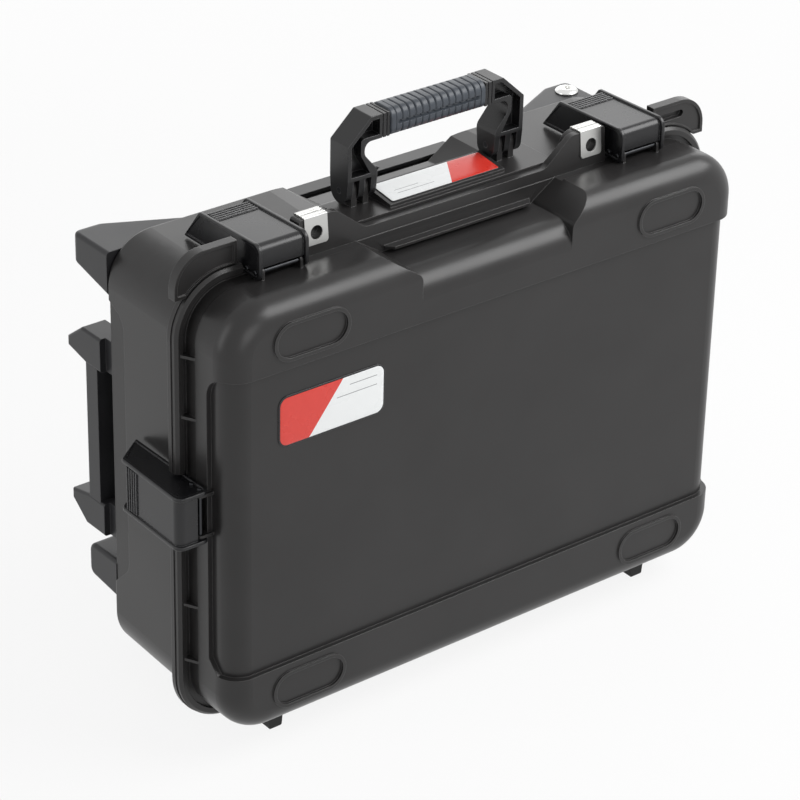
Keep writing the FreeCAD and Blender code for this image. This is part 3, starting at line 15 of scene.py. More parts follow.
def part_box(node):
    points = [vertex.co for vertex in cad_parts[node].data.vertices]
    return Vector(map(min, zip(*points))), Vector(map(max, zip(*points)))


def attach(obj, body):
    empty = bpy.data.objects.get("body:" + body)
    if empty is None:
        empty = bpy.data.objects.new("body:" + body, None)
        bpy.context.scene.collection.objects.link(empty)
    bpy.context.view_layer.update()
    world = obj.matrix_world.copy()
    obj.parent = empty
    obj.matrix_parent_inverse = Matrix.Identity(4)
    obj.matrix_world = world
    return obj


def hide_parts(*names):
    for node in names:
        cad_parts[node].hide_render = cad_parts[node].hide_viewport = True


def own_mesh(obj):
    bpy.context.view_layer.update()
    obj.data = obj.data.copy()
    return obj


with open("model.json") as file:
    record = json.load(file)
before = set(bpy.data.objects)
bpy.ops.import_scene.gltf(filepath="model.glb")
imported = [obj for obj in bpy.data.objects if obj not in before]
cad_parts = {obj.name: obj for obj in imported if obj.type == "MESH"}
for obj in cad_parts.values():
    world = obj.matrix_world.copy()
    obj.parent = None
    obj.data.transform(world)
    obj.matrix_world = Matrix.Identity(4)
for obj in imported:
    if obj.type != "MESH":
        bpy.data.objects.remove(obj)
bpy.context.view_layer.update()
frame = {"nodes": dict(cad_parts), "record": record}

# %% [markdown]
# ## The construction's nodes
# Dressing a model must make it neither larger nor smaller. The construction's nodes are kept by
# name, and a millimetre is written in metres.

nodes = frame["nodes"]
MM = 0.001

# %% [markdown]
# ## Small helpers
# A node material is a little graph. One helper adds a node, sets its options and fills its
# sockets; a socket is filled with a plain value or with a link to another node's output.
# Colours are written as sRGB hex, as paint programs give them, and turned to the linear values
# that light is computed with. Two more helpers clear a graph before it is drawn, and put a new
# thing into the scene.

# %% Colours, nodes and objects
def linear(hex_colour):
    """Turn an sRGB hex colour into linear red, green, blue and alpha."""
    parts = [int(hex_colour[i:i + 2], 16) / 255 for i in (1, 3, 5)]
    curve = [p / 12.92 if p <= 0.04045 else ((p + 0.055) / 1.055) ** 2.4 for p in parts]
    return (*curve, 1.0)


def add_node(tree, kind, settings=None, inputs=None):
    """Add a node; settings are its options, inputs are values or links for its sockets."""
    node = tree.nodes.new(kind)
    for option, value in (settings or {}).items():
        setattr(node, option, value)
    for socket, value in (inputs or {}).items():
        if isinstance(value, bpy.types.NodeSocket):
            tree.links.new(value, node.inputs[socket])
        else:
            node.inputs[socket].default_value = value
    return node


def empty_tree(owner):
    """Switch on the nodes of a material or a world, and clear them away."""
    owner.use_nodes = True
    owner.node_tree.nodes.clear()
    return owner.node_tree


def add_object(name, data):
    """Put a mesh, a lamp or a camera into the scene."""
    thing = bpy.data.objects.new(name, data)
    bpy.context.scene.collection.objects.link(thing)
    return thing


print("a light steel grey in linear light:", [round(c, 3) for c in linear("#c6c6c4")[:3]])

# %% [markdown]
# ## The start of each finish
# Every finish of the case is one Principled shader, which stands for plastic, rubber and metal
# alike, and the graph in front of it only changes its colour, its roughness and its normal. A
# pattern's size is thought of in millimetres, and a noise texture wants features per metre.

# %% Start a finish, and size its patterns
BEVEL_SAMPLES = 4
NOISE_LOW, NOISE_HIGH = 0.3, 0.7         # most values of a noise texture lie between these


def new_material(name, shader_values):
    """Start a material with one Principled shader wired to the output."""
    material = bpy.data.materials.new(name)
    tree = empty_tree(material)
    shader = add_node(tree, "ShaderNodeBsdfPrincipled", None, shader_values)
    add_node(tree, "ShaderNodeOutputMaterial", None, {"Surface": shader.outputs["BSDF"]})
    return material, tree, shader


def per_metre(spacing_mm):
    """Noise scale that gives features about spacing_mm apart on coordinates in metres."""
    return 1 / (spacing_mm * MM)


print("grain 1 mm apart is a noise scale of", per_metre(1))

# %% [markdown]
# ## Moulded plastic
# The shells are injection-moulded polypropylene. Such moulds are spark-eroded, which leaves a
# fine satin grain that scatters the light, and edges and rims are painted a little lighter as a
# highlight. The real grain is about 0.15 mm, far too fine to show at this distance, so it is
# drawn at about 1 mm. A slow mottling, as cooling leaves it, keeps large faces alive. The edge
# mask for
# the painted highlight compares the true normal with one that is rounded over a small radius:
# they differ only near an edge, from whichever side the surface is seen.

# %% A recipe for moulded and rubber surfaces
MOTTLE_MM = 70
DARK_SHARE, LIGHT_SHARE = 0.9, 1.12      # of the written colour, in the mottling
SMOOTHER, ROUGHER = 0.03, 0.04           # how far the mottling moves the roughness
FLAT_FACING, EDGE_FACING = 1.0, 0.8      # dot product of the true and the rounded normal
GRAIN_STRENGTH = 0.5
POLYMER_SPECULAR = 0.38


def grained_surface(name, colour, edge_highlight_colour, roughness, grain_mm, grain_depth_mm,
                    edge_mm, ior=1.49):
    """Grained moulded polymer with softened edges, painted a little paler as a highlight."""
    material, tree, shader = new_material(
        name, {"IOR": ior, "Specular IOR Level": POLYMER_SPECULAR})
    place = add_node(tree, "ShaderNodeTexCoord").outputs["Object"]
    mottle = add_node(tree, "ShaderNodeTexNoise", None,
                      {"Vector": place, "Scale": per_metre(MOTTLE_MM), "Detail": 3.0})
    grain = add_node(tree, "ShaderNodeTexNoise", None,
                     {"Vector": place, "Scale": per_metre(grain_mm), "Detail": 2.0})
    soft = add_node(tree, "ShaderNodeBevel", {"samples": BEVEL_SAMPLES},
                    {"Radius": edge_mm * MM})
    true = add_node(tree, "ShaderNodeNewGeometry")
    facing = add_node(tree, "ShaderNodeVectorMath", {"operation": "DOT_PRODUCT"},
                      {0: soft.outputs["Normal"], 1: true.outputs["Normal"]})
    # Painted highlight: near an edge the colour turns to the paler edge colour.
    edge_highlight = add_node(tree, "ShaderNodeMapRange", None,
                    {"Value": facing.outputs["Value"],
                     "From Min": FLAT_FACING, "From Max": EDGE_FACING})
    tone = add_node(tree, "ShaderNodeMapRange", None,
                    {"Value": mottle.outputs["Fac"], "From Min": NOISE_LOW,
                     "From Max": NOISE_HIGH, "To Min": DARK_SHARE, "To Max": LIGHT_SHARE})
    body = add_node(tree, "ShaderNodeMix", {"data_type": "RGBA"},
                    {0: edge_highlight.outputs["Result"], 6: linear(colour), 7: linear(edge_highlight_colour)})
    toned = add_node(tree, "ShaderNodeVectorMath", {"operation": "SCALE"},
                     {0: body.outputs[2], "Scale": tone.outputs["Result"]})
    polish = add_node(tree, "ShaderNodeMapRange", None,
                      {"Value": mottle.outputs["Fac"], "From Min": NOISE_LOW,
                       "From Max": NOISE_HIGH, "To Min": roughness - SMOOTHER,
                       "To Max": roughness + ROUGHER})
    bump = add_node(tree, "ShaderNodeBump", None,
                    {"Strength": GRAIN_STRENGTH, "Distance": grain_depth_mm * MM,
                     "Height": grain.outputs["Fac"], "Normal": soft.outputs["Normal"]})
    tree.links.new(toned.outputs["Vector"], shader.inputs["Base Color"])
    tree.links.new(polish.outputs["Result"], shader.inputs["Roughness"])
    tree.links.new(bump.outputs["Normal"], shader.inputs["Normal"])
    return material


print("the mottling of plastic is about", MOTTLE_MM, "mm across")

# %% [markdown]
# ## Which plastic and rubber goes where
# Black plastics differ by their shine more than by their colour. The values after a name are
# the body colour, the colour of the painted highlight at edges, the roughness, the grain's
# spacing and depth and the edge's radius in millimetres, and the IOR where it isn't that of
# polypropylene.

# %% Plastics and rubbers of the case
# Eroded polypropylene: a satin black that scatters the lamps; rims and edges get a painted
# highlight.
case_polypropylene = grained_surface(
    "moulded_polypropylene_case", "#272626", "#504f4f", 0.32, 1.0, 0.035, 0.9)
# Nylon fills a fine mould: the deepest black here, with the tightest highlight of the plastics.
latch_nylon = grained_surface(
    "moulded_nylon_latch", "#151517", "#58585a", 0.27, 0.9, 0.02, 0.8, 1.53)
# Glass fibres in nylon take a little of that depth away; its corners get a grey painted
# highlight.
handle_nylon = grained_surface(
    "moulded_glass_filled_nylon_handle", "#1a1a1b", "#545456", 0.28, 0.9, 0.02, 0.9, 1.53)
# The cross grip and its button: the same nylon from a coarser mould, greyer and duller.
pull_nylon = grained_surface(
    "moulded_glass_filled_nylon_pull", "#232324", "#464648", 0.34, 0.9, 0.025, 0.9, 1.53)
# Brackets, blocks, skids and carriers: thick polypropylene with a dull, even skin.
frame_polypropylene = grained_surface(
    "moulded_polypropylene_frame", "#262628", "#4a4a4c", 0.38, 1.0, 0.03, 1.0)
# Hubs and spokes: the greyest and dullest of the hard plastics.
wheel_polypropylene = grained_surface(
    "moulded_polypropylene_wheel", "#303032", "#4c4c4e", 0.42, 1.0, 0.03, 0.7)
# Acetal slides well and is moulded smooth, so the bushes shine evenly round the tubes.
bush_acetal = grained_surface(
    "moulded_acetal_bush", "#202022", "#38383a", 0.30, 1.2, 0.01, 0.4, 1.48)
# A soft elastomer: blue-grey beside the black handle, with a satin sheen on its ribs.
grip_elastomer = grained_surface(
    "moulded_elastomer_grip", "#41464d", "#686e76", 0.37, 0.8, 0.02, 0.4, 1.50)
# Rubber feet: nearly black and matte.
foot_rubber = grained_surface(
    "moulded_rubber_foot", "#1b1b1b", "#2a2a2a", 0.70, 1.0, 0.05, 0.6, 1.52)
# Foam rubber: its pores swallow the light, so it is the mattest thing on the case.
seal_foam = grained_surface(
    "extruded_foam_rubber_seal", "#191919", "#242424", 0.85, 0.8, 0.08, 0.4, 1.52)
# Tyres: dark grey and matte, a little smoother than the feet, as rolling leaves them.
tyre_rubber = grained_surface(
    "moulded_rubber_tyre", "#232324", "#303031", 0.62, 1.0, 0.05, 0.5, 1.52)
print(len(bpy.data.materials), "materials so far")

# %% [markdown]
# ## Bare metals
# The padlock plates are bent from brushed stainless sheet: fine parallel scratches stretch each
# highlight across the brushing. The pins of latches, hinge and handle are blackened, so that they
# hide between the black parts; screws, axles and the cap are zinc or nickel plated and brighter.
# The scratches are drawn 0.5 to 1 mm wide, coarser than the real ones, so that they show.
# A metal's reflection comes from its own colour, so its IOR stays at the default.

# %% A recipe for brushed, drawn and plated metal
SMUDGE_MM = 18
WIPED, DULLED = 0.04, 0.06               # how far smudges move the roughness
SCRATCH_STRENGTH = 0.4


def metal_surface(name, colour, roughness, stretch, scratch_mm, scratch_depth_mm, edge_mm):
    """Metal whose scratches run long where stretch is small along X, Y or Z."""
    material, tree, shader = new_material(
        name, {"Metallic": 1.0, "Base Color": linear(colour)})
    place = add_node(tree, "ShaderNodeTexCoord").outputs["Object"]
    along = add_node(tree, "ShaderNodeMapping", None, {"Vector": place, "Scale": stretch})
    scratch = add_node(tree, "ShaderNodeTexNoise", None,
                       {"Vector": along.outputs["Vector"], "Scale": per_metre(scratch_mm),
                        "Detail": 3.0})
    smudge = add_node(tree, "ShaderNodeTexNoise", None,
                      {"Vector": place, "Scale": per_metre(SMUDGE_MM), "Detail": 2.0})
    polish = add_node(tree, "ShaderNodeMapRange", None,
                      {"Value": smudge.outputs["Fac"], "From Min": NOISE_LOW,
                       "From Max": NOISE_HIGH, "To Min": roughness - WIPED,
                       "To Max": roughness + DULLED})
    soft = add_node(tree, "ShaderNodeBevel", {"samples": BEVEL_SAMPLES},
                    {"Radius": edge_mm * MM})
    bump = add_node(tree, "ShaderNodeBump", None,
                    {"Strength": SCRATCH_STRENGTH, "Distance": scratch_depth_mm * MM,
                     "Height": scratch.outputs["Fac"], "Normal": soft.outputs["Normal"]})
    tree.links.new(polish.outputs["Result"], shader.inputs["Roughness"])
    tree.links.new(bump.outputs["Normal"], shader.inputs["Normal"])
    return material


print("smudges on metal are about", SMUDGE_MM, "mm across")

# %% [markdown]
# ## Which metal goes where
# The values after a name are the colour, the roughness, how the scratches are stretched along
# the direction in which the piece was brushed or drawn, and, in millimetres, the scratch's
# spacing and depth and the edge's radius.

# %% Metals of the case
EVEN = (1.0, 1.0, 1.0)
BRUSHED_ALONG_X = (0.04, 1.0, 1.0)
DRAWN_ALONG_X = (0.1, 1.0, 1.0)
DRAWN_ALONG_Z = (1.0, 1.0, 0.05)
# Brushed stainless sheet: pale, with highlights drawn out across the brushing.
plate_stainless = metal_surface(
    "brushed_stainless_plate", "#c6c6c4", 0.33, BRUSHED_ALONG_X, 0.5, 0.003, 0.3)
# Blackened steel: a dark sheen that loses itself among the black parts.
pin_steel = metal_surface(
    "blackened_steel_pin", "#3c3d3f", 0.32, DRAWN_ALONG_X, 0.5, 0.01, 0.3)
# Zinc plate on screw heads: mid grey and a little cloudy.
screw_steel = metal_surface("zinc_plated_steel_screw", "#8e8f92", 0.36, EVEN, 0.8, 0.01, 0.2)
# Nickel plate on a polished dome: the brightest metal here, with the sharpest highlight.
cap_steel = metal_surface("nickel_plated_steel_cap", "#dededc", 0.20, EVEN, 1.0, 0.005, 0.4)
# Zinc plate on axles of drawn bar: brighter than the screws, with lines along the axle.
axle_steel = metal_surface(
    "zinc_plated_steel_axle", "#b6b8bb", 0.30, DRAWN_ALONG_X, 0.6, 0.01, 0.3)
# Drawn spring wire and rods: plain light steel.
spring_steel = metal_surface("drawn_spring_steel", "#a5a6a8", 0.32, EVEN, 0.6, 0.01, 0.1)
# Anodised drawn aluminium: a pale satin with fine lines up the tubes.
tube_aluminium = metal_surface(
    "anodised_drawn_aluminium_tube", "#a3a5a9", 0.34, DRAWN_ALONG_Z, 0.6, 0.01, 0.5)
print("with the metals:", len(bpy.data.materials), "materials")

# %% [markdown]
# ## Give each construction node its finish
# The record says which material slot each node takes. A table turns slots into finishes, so
# that every piece from the construction is dressed without naming it. The two plain label plates
# are dressed like the case, and printed ones take their place further on.

# %% Slots to finishes
finish_of_slot = {
    "case_plastic": case_polypropylene, "latch_plastic": latch_nylon,
    "handle_plastic": handle_nylon, "pull_plastic": pull_nylon,
    "frame_plastic": frame_polypropylene, "wheel_plastic": wheel_polypropylene,
    "bush_plastic": bush_acetal, "grip_rubber": grip_elastomer, "foot_rubber": foot_rubber,
    "seal_rubber": seal_foam, "tyre_rubber": tyre_rubber, "plate_steel": plate_stainless,
    "pin_steel": pin_steel, "screw_steel": screw_steel, "cap_steel": cap_steel,
    "axle_steel": axle_steel, "spring_steel": spring_steel, "tube_aluminium": tube_aluminium,
    "label_print": case_polypropylene,
}
for part in frame["record"]["subparts"]:
    node_object = nodes[part["node"]]
    for place in node_object.material_slots:
        place.material = finish_of_slot[part["material_slot"]]

# %% [markdown]
# ## Building meshes from rings
# The pieces made here are all rings of points joined one to the next, like hoops of a barrel.
# A ring list and two end caps give a closed body, which a printer or a physics tool can use.

# %% Rings of points become a closed body
SOFT_ANGLE = 40


def lofted(name, rings, materials, bands=None):
    """Join rings of equal length into a closed body; bands gives each wall's material index."""
    count = len(rings[0])
    points = [point for ring in rings for point in ring]
    faces = []
    paint = []
    for i in range(len(rings) - 1):
        for j in range(count):
            k = (j + 1) % count
            faces.append((i * count + j, i * count + k, (i + 1) * count + k, (i + 1) * count + j))
            paint.append(bands[i] if bands else 0)
    faces.append(tuple(range(count - 1, -1, -1)))
    faces.append(tuple(range((len(rings) - 1) * count, len(rings) * count)))
    paint += [0, bands[-1] if bands else 0]
    mesh = bpy.data.meshes.new(name)
    mesh.from_pydata(points, [], faces)
    for material in materials:
        mesh.materials.append(material)
    for polygon, index in zip(mesh.polygons, paint):
        polygon.material_index = index
        polygon.use_smooth = True
    mesh.update()
    return add_object(name, mesh)


def rounded_rectangle(width, height, radius, steps=10):
    """Corner by corner, the points of a rectangle with round corners, in its own plane."""
    points = []
    for quarter, (sx, sy) in enumerate(((1, 1), (-1, 1), (-1, -1), (1, -1))):
        cx = sx * (width / 2 - radius)
        cy = sy * (height / 2 - radius)
        for step in range(steps + 1):
            angle = math.pi / 2 * (quarter + step / steps)
            points.append((cx + radius * math.cos(angle), cy + radius * math.sin(angle)))
    return points


def soften(piece, angle=SOFT_ANGLE):
    """Sharp where faces meet at more than the angle, smooth elsewhere."""
    piece.data.set_sharp_from_angle(angle=math.radians(angle))


print("a rounded rectangle has", len(rounded_rectangle(1, 1, 0.1)), "points")

# %% [markdown]
# ## The two label plates
# Each label is a printed film under clear resin that has run to the edges and set with a soft
# dome. The print has a red field, a slanted split, a white field and two thin ruled lines where
# an owner could write. The split is one line in the label's own plane, so a single comparison in
# the material draws it sharply at any distance. A thin clear coat gives the resin's gloss.

# %% Material of a printed label
LABEL_RED, LABEL_RED_SPECKLE = "#d43024", "#dc3a2e"
LABEL_WHITE = "#eef0f0"
RULE_GREY = "#8a8c8e"
PRINT_EDGE = 0.15 * MM
SPECKLE_MM = 4
WEAR_MM = 25
GLOSSY, WORN = 0.22, 0.34                # roughness of the print


def label_print(name, width, height, split_top, split_foot, red_side, rules, rule_half):
    """Red and white print; the split runs from split_foot to split_top, shares of the width.

    red_side is 1 where the red field is on the left, and -1 where it is on the right. A rule is
    its left end, its right end and its height, as shares of width and height.
    """
    material, tree, shader = new_material(
        name, {"IOR": 1.50, "Coat Weight": 0.25, "Coat Roughness": 0.08})
    place = add_node(tree, "ShaderNodeTexCoord").outputs["Object"]
    axes = add_node(tree, "ShaderNodeSeparateXYZ", None, {"Vector": place})
    middle_share = (split_top + split_foot) / 2 - 0.5
    lean = (split_top - split_foot) * width / height
    line_x = add_node(tree, "ShaderNodeMath", {"operation": "MULTIPLY_ADD"},
                      {0: axes.outputs["Y"], 1: lean, 2: middle_share * width})
    offset = add_node(tree, "ShaderNodeMath", {"operation": "SUBTRACT"},
                      {0: axes.outputs["X"], 1: line_x.outputs["Value"]})
    white = add_node(tree, "ShaderNodeMapRange", None,
                     {"Value": offset.outputs["Value"], "From Min": -PRINT_EDGE * red_side,
                      "From Max": PRINT_EDGE * red_side})
    speckle = add_node(tree, "ShaderNodeTexNoise", None,
                       {"Vector": place, "Scale": per_metre(SPECKLE_MM), "Detail": 2.0})
    red = add_node(tree, "ShaderNodeMix", {"data_type": "RGBA"},
                   {0: speckle.outputs["Fac"], 6: linear(LABEL_RED),
                    7: linear(LABEL_RED_SPECKLE)})
    field = add_node(tree, "ShaderNodeMix", {"data_type": "RGBA"},
                     {0: white.outputs["Result"], 6: red.outputs[2], 7: linear(LABEL_WHITE)})
    colour = field.outputs[2]
    for left_share, right_share, height_share in rules:
        low_x, high_x = left_share * width, right_share * width
        across = add_node(tree, "ShaderNodeMath", {"operation": "COMPARE"},
                          {0: axes.outputs["Y"], 1: height_share * height, 2: rule_half})
        along = add_node(tree, "ShaderNodeMath", {"operation": "COMPARE"},
                         {0: axes.outputs["X"], 1: (low_x + high_x) / 2,
                          2: (high_x - low_x) / 2})
        both = add_node(tree, "ShaderNodeMath", {"operation": "MULTIPLY"},
                        {0: across.outputs["Value"], 1: along.outputs["Value"]})
        ruled = add_node(tree, "ShaderNodeMix", {"data_type": "RGBA"},
                         {0: both.outputs["Value"], 6: colour, 7: linear(RULE_GREY)})
        colour = ruled.outputs[2]
    wear = add_node(tree, "ShaderNodeTexNoise", None,
                    {"Vector": place, "Scale": per_metre(WEAR_MM), "Detail": 3.0})
    polish = add_node(tree, "ShaderNodeMapRange", None,
                      {"Value": wear.outputs["Fac"], "To Min": GLOSSY, "To Max": WORN})
    tree.links.new(colour, shader.inputs["Base Color"])
    tree.links.new(polish.outputs["Result"], shader.inputs["Roughness"])
    return material


print("the print's edge is soft over", round(2 * PRINT_EDGE / MM, 2), "mm")

# %% [markdown]
# ## Shape of a domed label
# Resin that is poured on a film stops at its edge, climbs steeply and then runs level. Seven
# rings show that: the foot, three for the rim with its small chamfer, and three steps up the
# dome, each a smaller copy of the outline. The label lies in its own XY plane, so that its print
# can be written there, and is turned into place afterwards.

# %% Rings of a domed label
LABEL_CHAMFER = 0.25 * MM
RESIN_DOME = 0.35 * MM
RESIN_FOOT_RUN, RESIN_FOOT_RISE = 0.2 * MM, 0.1 * MM
RESIN_SHOULDER_RUN, RESIN_SHOULDER_SHARE = 1.2 * MM, 0.6
RESIN_LEVEL_RUN = 4.0 * MM
LEAST_ROUND = 0.4 * MM
PRINTED, RIM = 0, 1                      # places of the two materials on a label


def domed_label(name, node, width, height, radius, thickness, materials, rim):
    """Plate in its own XY plane: a rim, a resin dome, and its middle at the local origin."""
    rings = [[(x, y, 0.0) for x, y in rounded_rectangle(width, height, radius)]]
    bands = []
    for inset, rise, band in (
            (0.0, thickness - LABEL_CHAMFER, RIM),
            (LABEL_CHAMFER, thickness, RIM),
            (rim, thickness, RIM),
            (rim + RESIN_FOOT_RUN, thickness + RESIN_FOOT_RISE, PRINTED),
            (rim + RESIN_SHOULDER_RUN, thickness + RESIN_SHOULDER_SHARE * RESIN_DOME, PRINTED),
            (rim + RESIN_LEVEL_RUN, thickness + RESIN_DOME, PRINTED)):
        inner = rounded_rectangle(width - 2 * inset, height - 2 * inset,
                                  max(radius - inset, LEAST_ROUND))
        rings.append([(x, y, rise) for x, y in inner])
        bands.append(band)
    piece = lofted(name, rings, materials, bands)
    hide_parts(node)
    return piece


print("the resin stands", round(RESIN_DOME / MM, 2), "mm above the rim")

# %% [markdown]
# ## The front label
# It sits on the lid's lowered panel, in a black rim that is made 1.6 mm wide, so that it is
# partly the label's real rim and partly painted shade of the recess round the label. Its width,
# height and thickness come from the box of the construction's plain plate. A quarter turn about X
# stands it up, facing the front, and it rides on the lid, so it swings away with it.

# %% Front label on the lid
FRONT_RULES = ((0.16, 0.42, 0.30), (0.04, 0.42, 0.12))
FRONT_RULE_HALF = 0.35 * MM
FRONT_RADIUS = 9 * MM
# The black rim's width is partly the real rim and partly painted shade of the recess round it.
FRONT_RIM_AND_PAINTED_SHADE = 1.6 * MM
low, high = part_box("front_label")
front_width = high.x - low.x
front_height = high.z - low.z
front_print = label_print(
    "printed_film_under_resin_front", front_width, front_height,
    split_top=0.61, split_foot=0.27, red_side=1, rules=FRONT_RULES, rule_half=FRONT_RULE_HALF)
front_label = domed_label("front_label_plate", "front_label", front_width, front_height,
                          FRONT_RADIUS, high.y - low.y, [front_print, latch_nylon], FRONT_RIM_AND_PAINTED_SHADE)
front_seat = ((low.x + high.x) / 2, high.y, (low.z + high.z) / 2)
front_label.matrix_world = (
    Matrix.Translation(front_seat)
    @ Matrix.Rotation(math.pi / 2, 4, "X"))
soften(front_label)
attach(front_label, "lid")
print("front label", round(front_width / MM, 1), "x", round(front_height / MM, 1), "mm")

# %% [markdown]
# ## The top label
# It lies on the sloping bed between the handle's arms. A box with upright sides can't give the
# true depth of a tilted plate, so its depth, thickness and tilt are written here, the same as in
# the construction. It is seated at the middle of that box and lowered by half its thickness.

# %% Top label on the sloping bed
TOP_RULES = ((-0.40, -0.06, -0.22), (-0.40, -0.18, -0.06))
TOP_RULE_HALF = 0.3 * MM
TOP_RADIUS = 2 * MM
TOP_RIM = 0.3 * MM
TOP_DEPTH = 28.5 * MM
TOP_THICKNESS = 0.8 * MM
TOP_TILT = math.radians(7.8)
low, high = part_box("top_label")
top_width = high.x - low.x
top_print = label_print(
    "printed_film_under_resin_top", top_width, TOP_DEPTH,
    split_top=0.70, split_foot=0.55, red_side=-1, rules=TOP_RULES, rule_half=TOP_RULE_HALF)
top_label = domed_label("top_label_plate", "top_label", top_width, TOP_DEPTH,
                        TOP_RADIUS, TOP_THICKNESS, [top_print, latch_nylon], TOP_RIM)
top_label.matrix_world = (
    Matrix.Translation((low + high) / 2)
    @ Matrix.Rotation(TOP_TILT, 4, "X")
    @ Matrix.Translation((0, 0, -TOP_THICKNESS / 2)))
soften(top_label)
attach(top_label, "base")
print("top label tilts", round(math.degrees(TOP_TILT), 1), "degrees")

# %% [markdown]
# ## The rubber grip
# The sleeve is moulded over the handle's bar: a squarish section with round corners, thirteen
# shallow ribs across it, a long groove in each side and a collar at each end. A loft along the
# bar does it well: every station scales one section, ribs are a formula along the length, and
# the grooves are a dent in the section's flanks that ends short of the collars.

# %% Section and rib formula of the grip
grip_low, grip_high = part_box("handle_grip")
grip_half = (grip_high.x - grip_low.x) / 2
grip_depth = grip_high.y - grip_low.y
grip_height = grip_high.z - grip_low.z
GRIP_ROUND = 7.5 * MM
GRIP_ROUND_STEPS = 8
FLANK_STEPS = 20
FLANK_LEAST = 4 * MM                     # a longer side of the section is a flank
RIB_COUNT = 13
RIB_CUT = 1.0 * MM
VALLEY_POWER = 24                        # the higher, the narrower the valleys
COLLAR = 5.0 * MM
GROOVE_CUT = 3.0 * MM
GROOVE_HALF = 1.7 * MM
GROOVE_POWER = 4                         # the higher, the flatter the groove's floor
GROOVE_END = 2 * MM                      # its gap to a collar, and the length of its run-out


def rib_dip(x):
    """How far the skin sinks at x: narrow valleys between broad ribs, none in the collars."""
    ribbed_half = grip_half - COLLAR
    if abs(x) > ribbed_half:
        return 0.0
    phase = (x + ribbed_half) / (2 * ribbed_half) * RIB_COUNT
    valley = math.cos(math.pi * (phase - round(phase)))
    return RIB_CUT * valley ** VALLEY_POWER


def groove_dip(x, z):
    """Depth of the long side groove at a place on the flank."""
    run = grip_half - COLLAR - GROOVE_END - abs(x)
    if run < 0:
        return 0.0
    fade = min(1.0, run / GROOVE_END)
    return GROOVE_CUT * fade * max(0.0, 1 - (z / GROOVE_HALF) ** GROOVE_POWER)


def grip_ring(x, shrink):
    """One section of the sleeve at x."""
    ring = []
    outline = rounded_rectangle(grip_depth - 2 * shrink, grip_height - 2 * shrink,
                                GRIP_ROUND, GRIP_ROUND_STEPS)
    for index, (y, z) in enumerate(outline):
        ring.append((x, y, z))
        after = outline[(index + 1) % len(outline)]
        if abs(after[1] - z) > FLANK_LEAST:
            for share in (i / FLANK_STEPS for i in range(1, FLANK_STEPS)):
                flank_z = z + (after[1] - z) * share
                inward = -math.copysign(groove_dip(x, flank_z), y)
                ring.append((x, y + inward, flank_z))
    return ring


print("a section of the grip has", len(grip_ring(0.0, 0.0)), "points, its groove is",
      round(groove_dip(0.0, 0.0) / MM, 1), "mm deep")

# %% [markdown]
# ## Lofting the grip
# Some 260 stations along the bar are close enough for a smooth valley between two ribs. Towards
# each end the section shrinks along a short curve, which rounds the sleeve's end. The ribs run
# straight across, so the whole sleeve is one mesh with one material.

# %% Loft the grip and seat it on the bar
STATION_STEPS = 260
END_ROUND = 1.2 * MM
GRIP_SOFT_ANGLE = 50
stations = [grip_half * (2 * i / STATION_STEPS - 1) for i in range(STATION_STEPS + 1)]
grip_rings = []
for x in stations:
    from_end = grip_half - abs(x)
    end_shrink = END_ROUND * max(0.0, 1 - from_end / END_ROUND) ** 2
    grip_rings.append(grip_ring(x, rib_dip(x) + end_shrink))
grip = lofted("grip_sleeve", grip_rings, [grip_elastomer])
grip.matrix_world = Matrix.Translation((grip_low + grip_high) / 2)
soften(grip, GRIP_SOFT_ANGLE)
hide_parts("handle_grip")
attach(grip, "handle")
print("grip:", len(grip.data.polygons), "faces,", RIB_COUNT, "ribs")

# %% [markdown]
# ## The bright cap
# The cap screw on the right-hand corner block has a low dome, a rolled edge and a hexagon
# recess. Its profile is turned round its axis like work on a lathe; in the recess the rings
# pass from round to six-sided.

# %% A lathe for round and six-sided rings
CAP_STEPS = 48


def turned(name, profile, materials):
    """Turn (radius, height, corners) stations round Z; corners above 0 draw a polygon."""
    rings = []
    for radius, height, corners in profile:
        ring = []
        for step in range(CAP_STEPS):
            angle = 2 * math.pi * step / CAP_STEPS
            reach = radius
            if corners:
                slice_angle = 2 * math.pi / corners
                reach = radius / math.cos(angle % slice_angle - slice_angle / 2)
            ring.append((reach * math.cos(angle), reach * math.sin(angle), height))
        rings.append(ring)
    return lofted(name, rings, materials)


print("the lathe turns in steps of", 360 / CAP_STEPS, "degrees")

# %% [markdown]
# ## The cap's profile
# From the seat the profile climbs a small chamfer, an upright rolled edge and a shoulder. The
# dome is three stations given as shares of the cap's radius and height, then the wall of the
# recess drops to its flat floor.

# %% Turn the cap's profile
CAP_FOOT_INSET, CAP_FOOT_RISE = 0.4 * MM, 0.5 * MM
CAP_EDGE_RISE = 1.4 * MM
CAP_SHOULDER_INSET, CAP_SHOULDER_RISE = 0.6 * MM, 2.1 * MM
CAP_DOME_SHARES = ((0.84, 0.72), (0.66, 0.93), (0.52, 1.0))
HEX_HALF = 4.0 * MM
HEX_CHAMFER = 0.3 * MM
HEX_FLOOR_SHARE = 0.45
ROUND, HEXAGON = 0, 6                    # corners of a ring
CAP_SOFT_ANGLE = 45
cap_low, cap_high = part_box("block_cap")
cap_radius = (cap_high.x - cap_low.x) / 2
cap_height = cap_high.z - cap_low.z
cap_edge = [
    (cap_radius - CAP_FOOT_INSET, 0.0, ROUND), (cap_radius, CAP_FOOT_RISE, ROUND),
    (cap_radius, CAP_EDGE_RISE, ROUND),
    (cap_radius - CAP_SHOULDER_INSET, CAP_SHOULDER_RISE, ROUND)]
cap_dome = [(out_share * cap_radius, up_share * cap_height, ROUND)
            for out_share, up_share in CAP_DOME_SHARES]
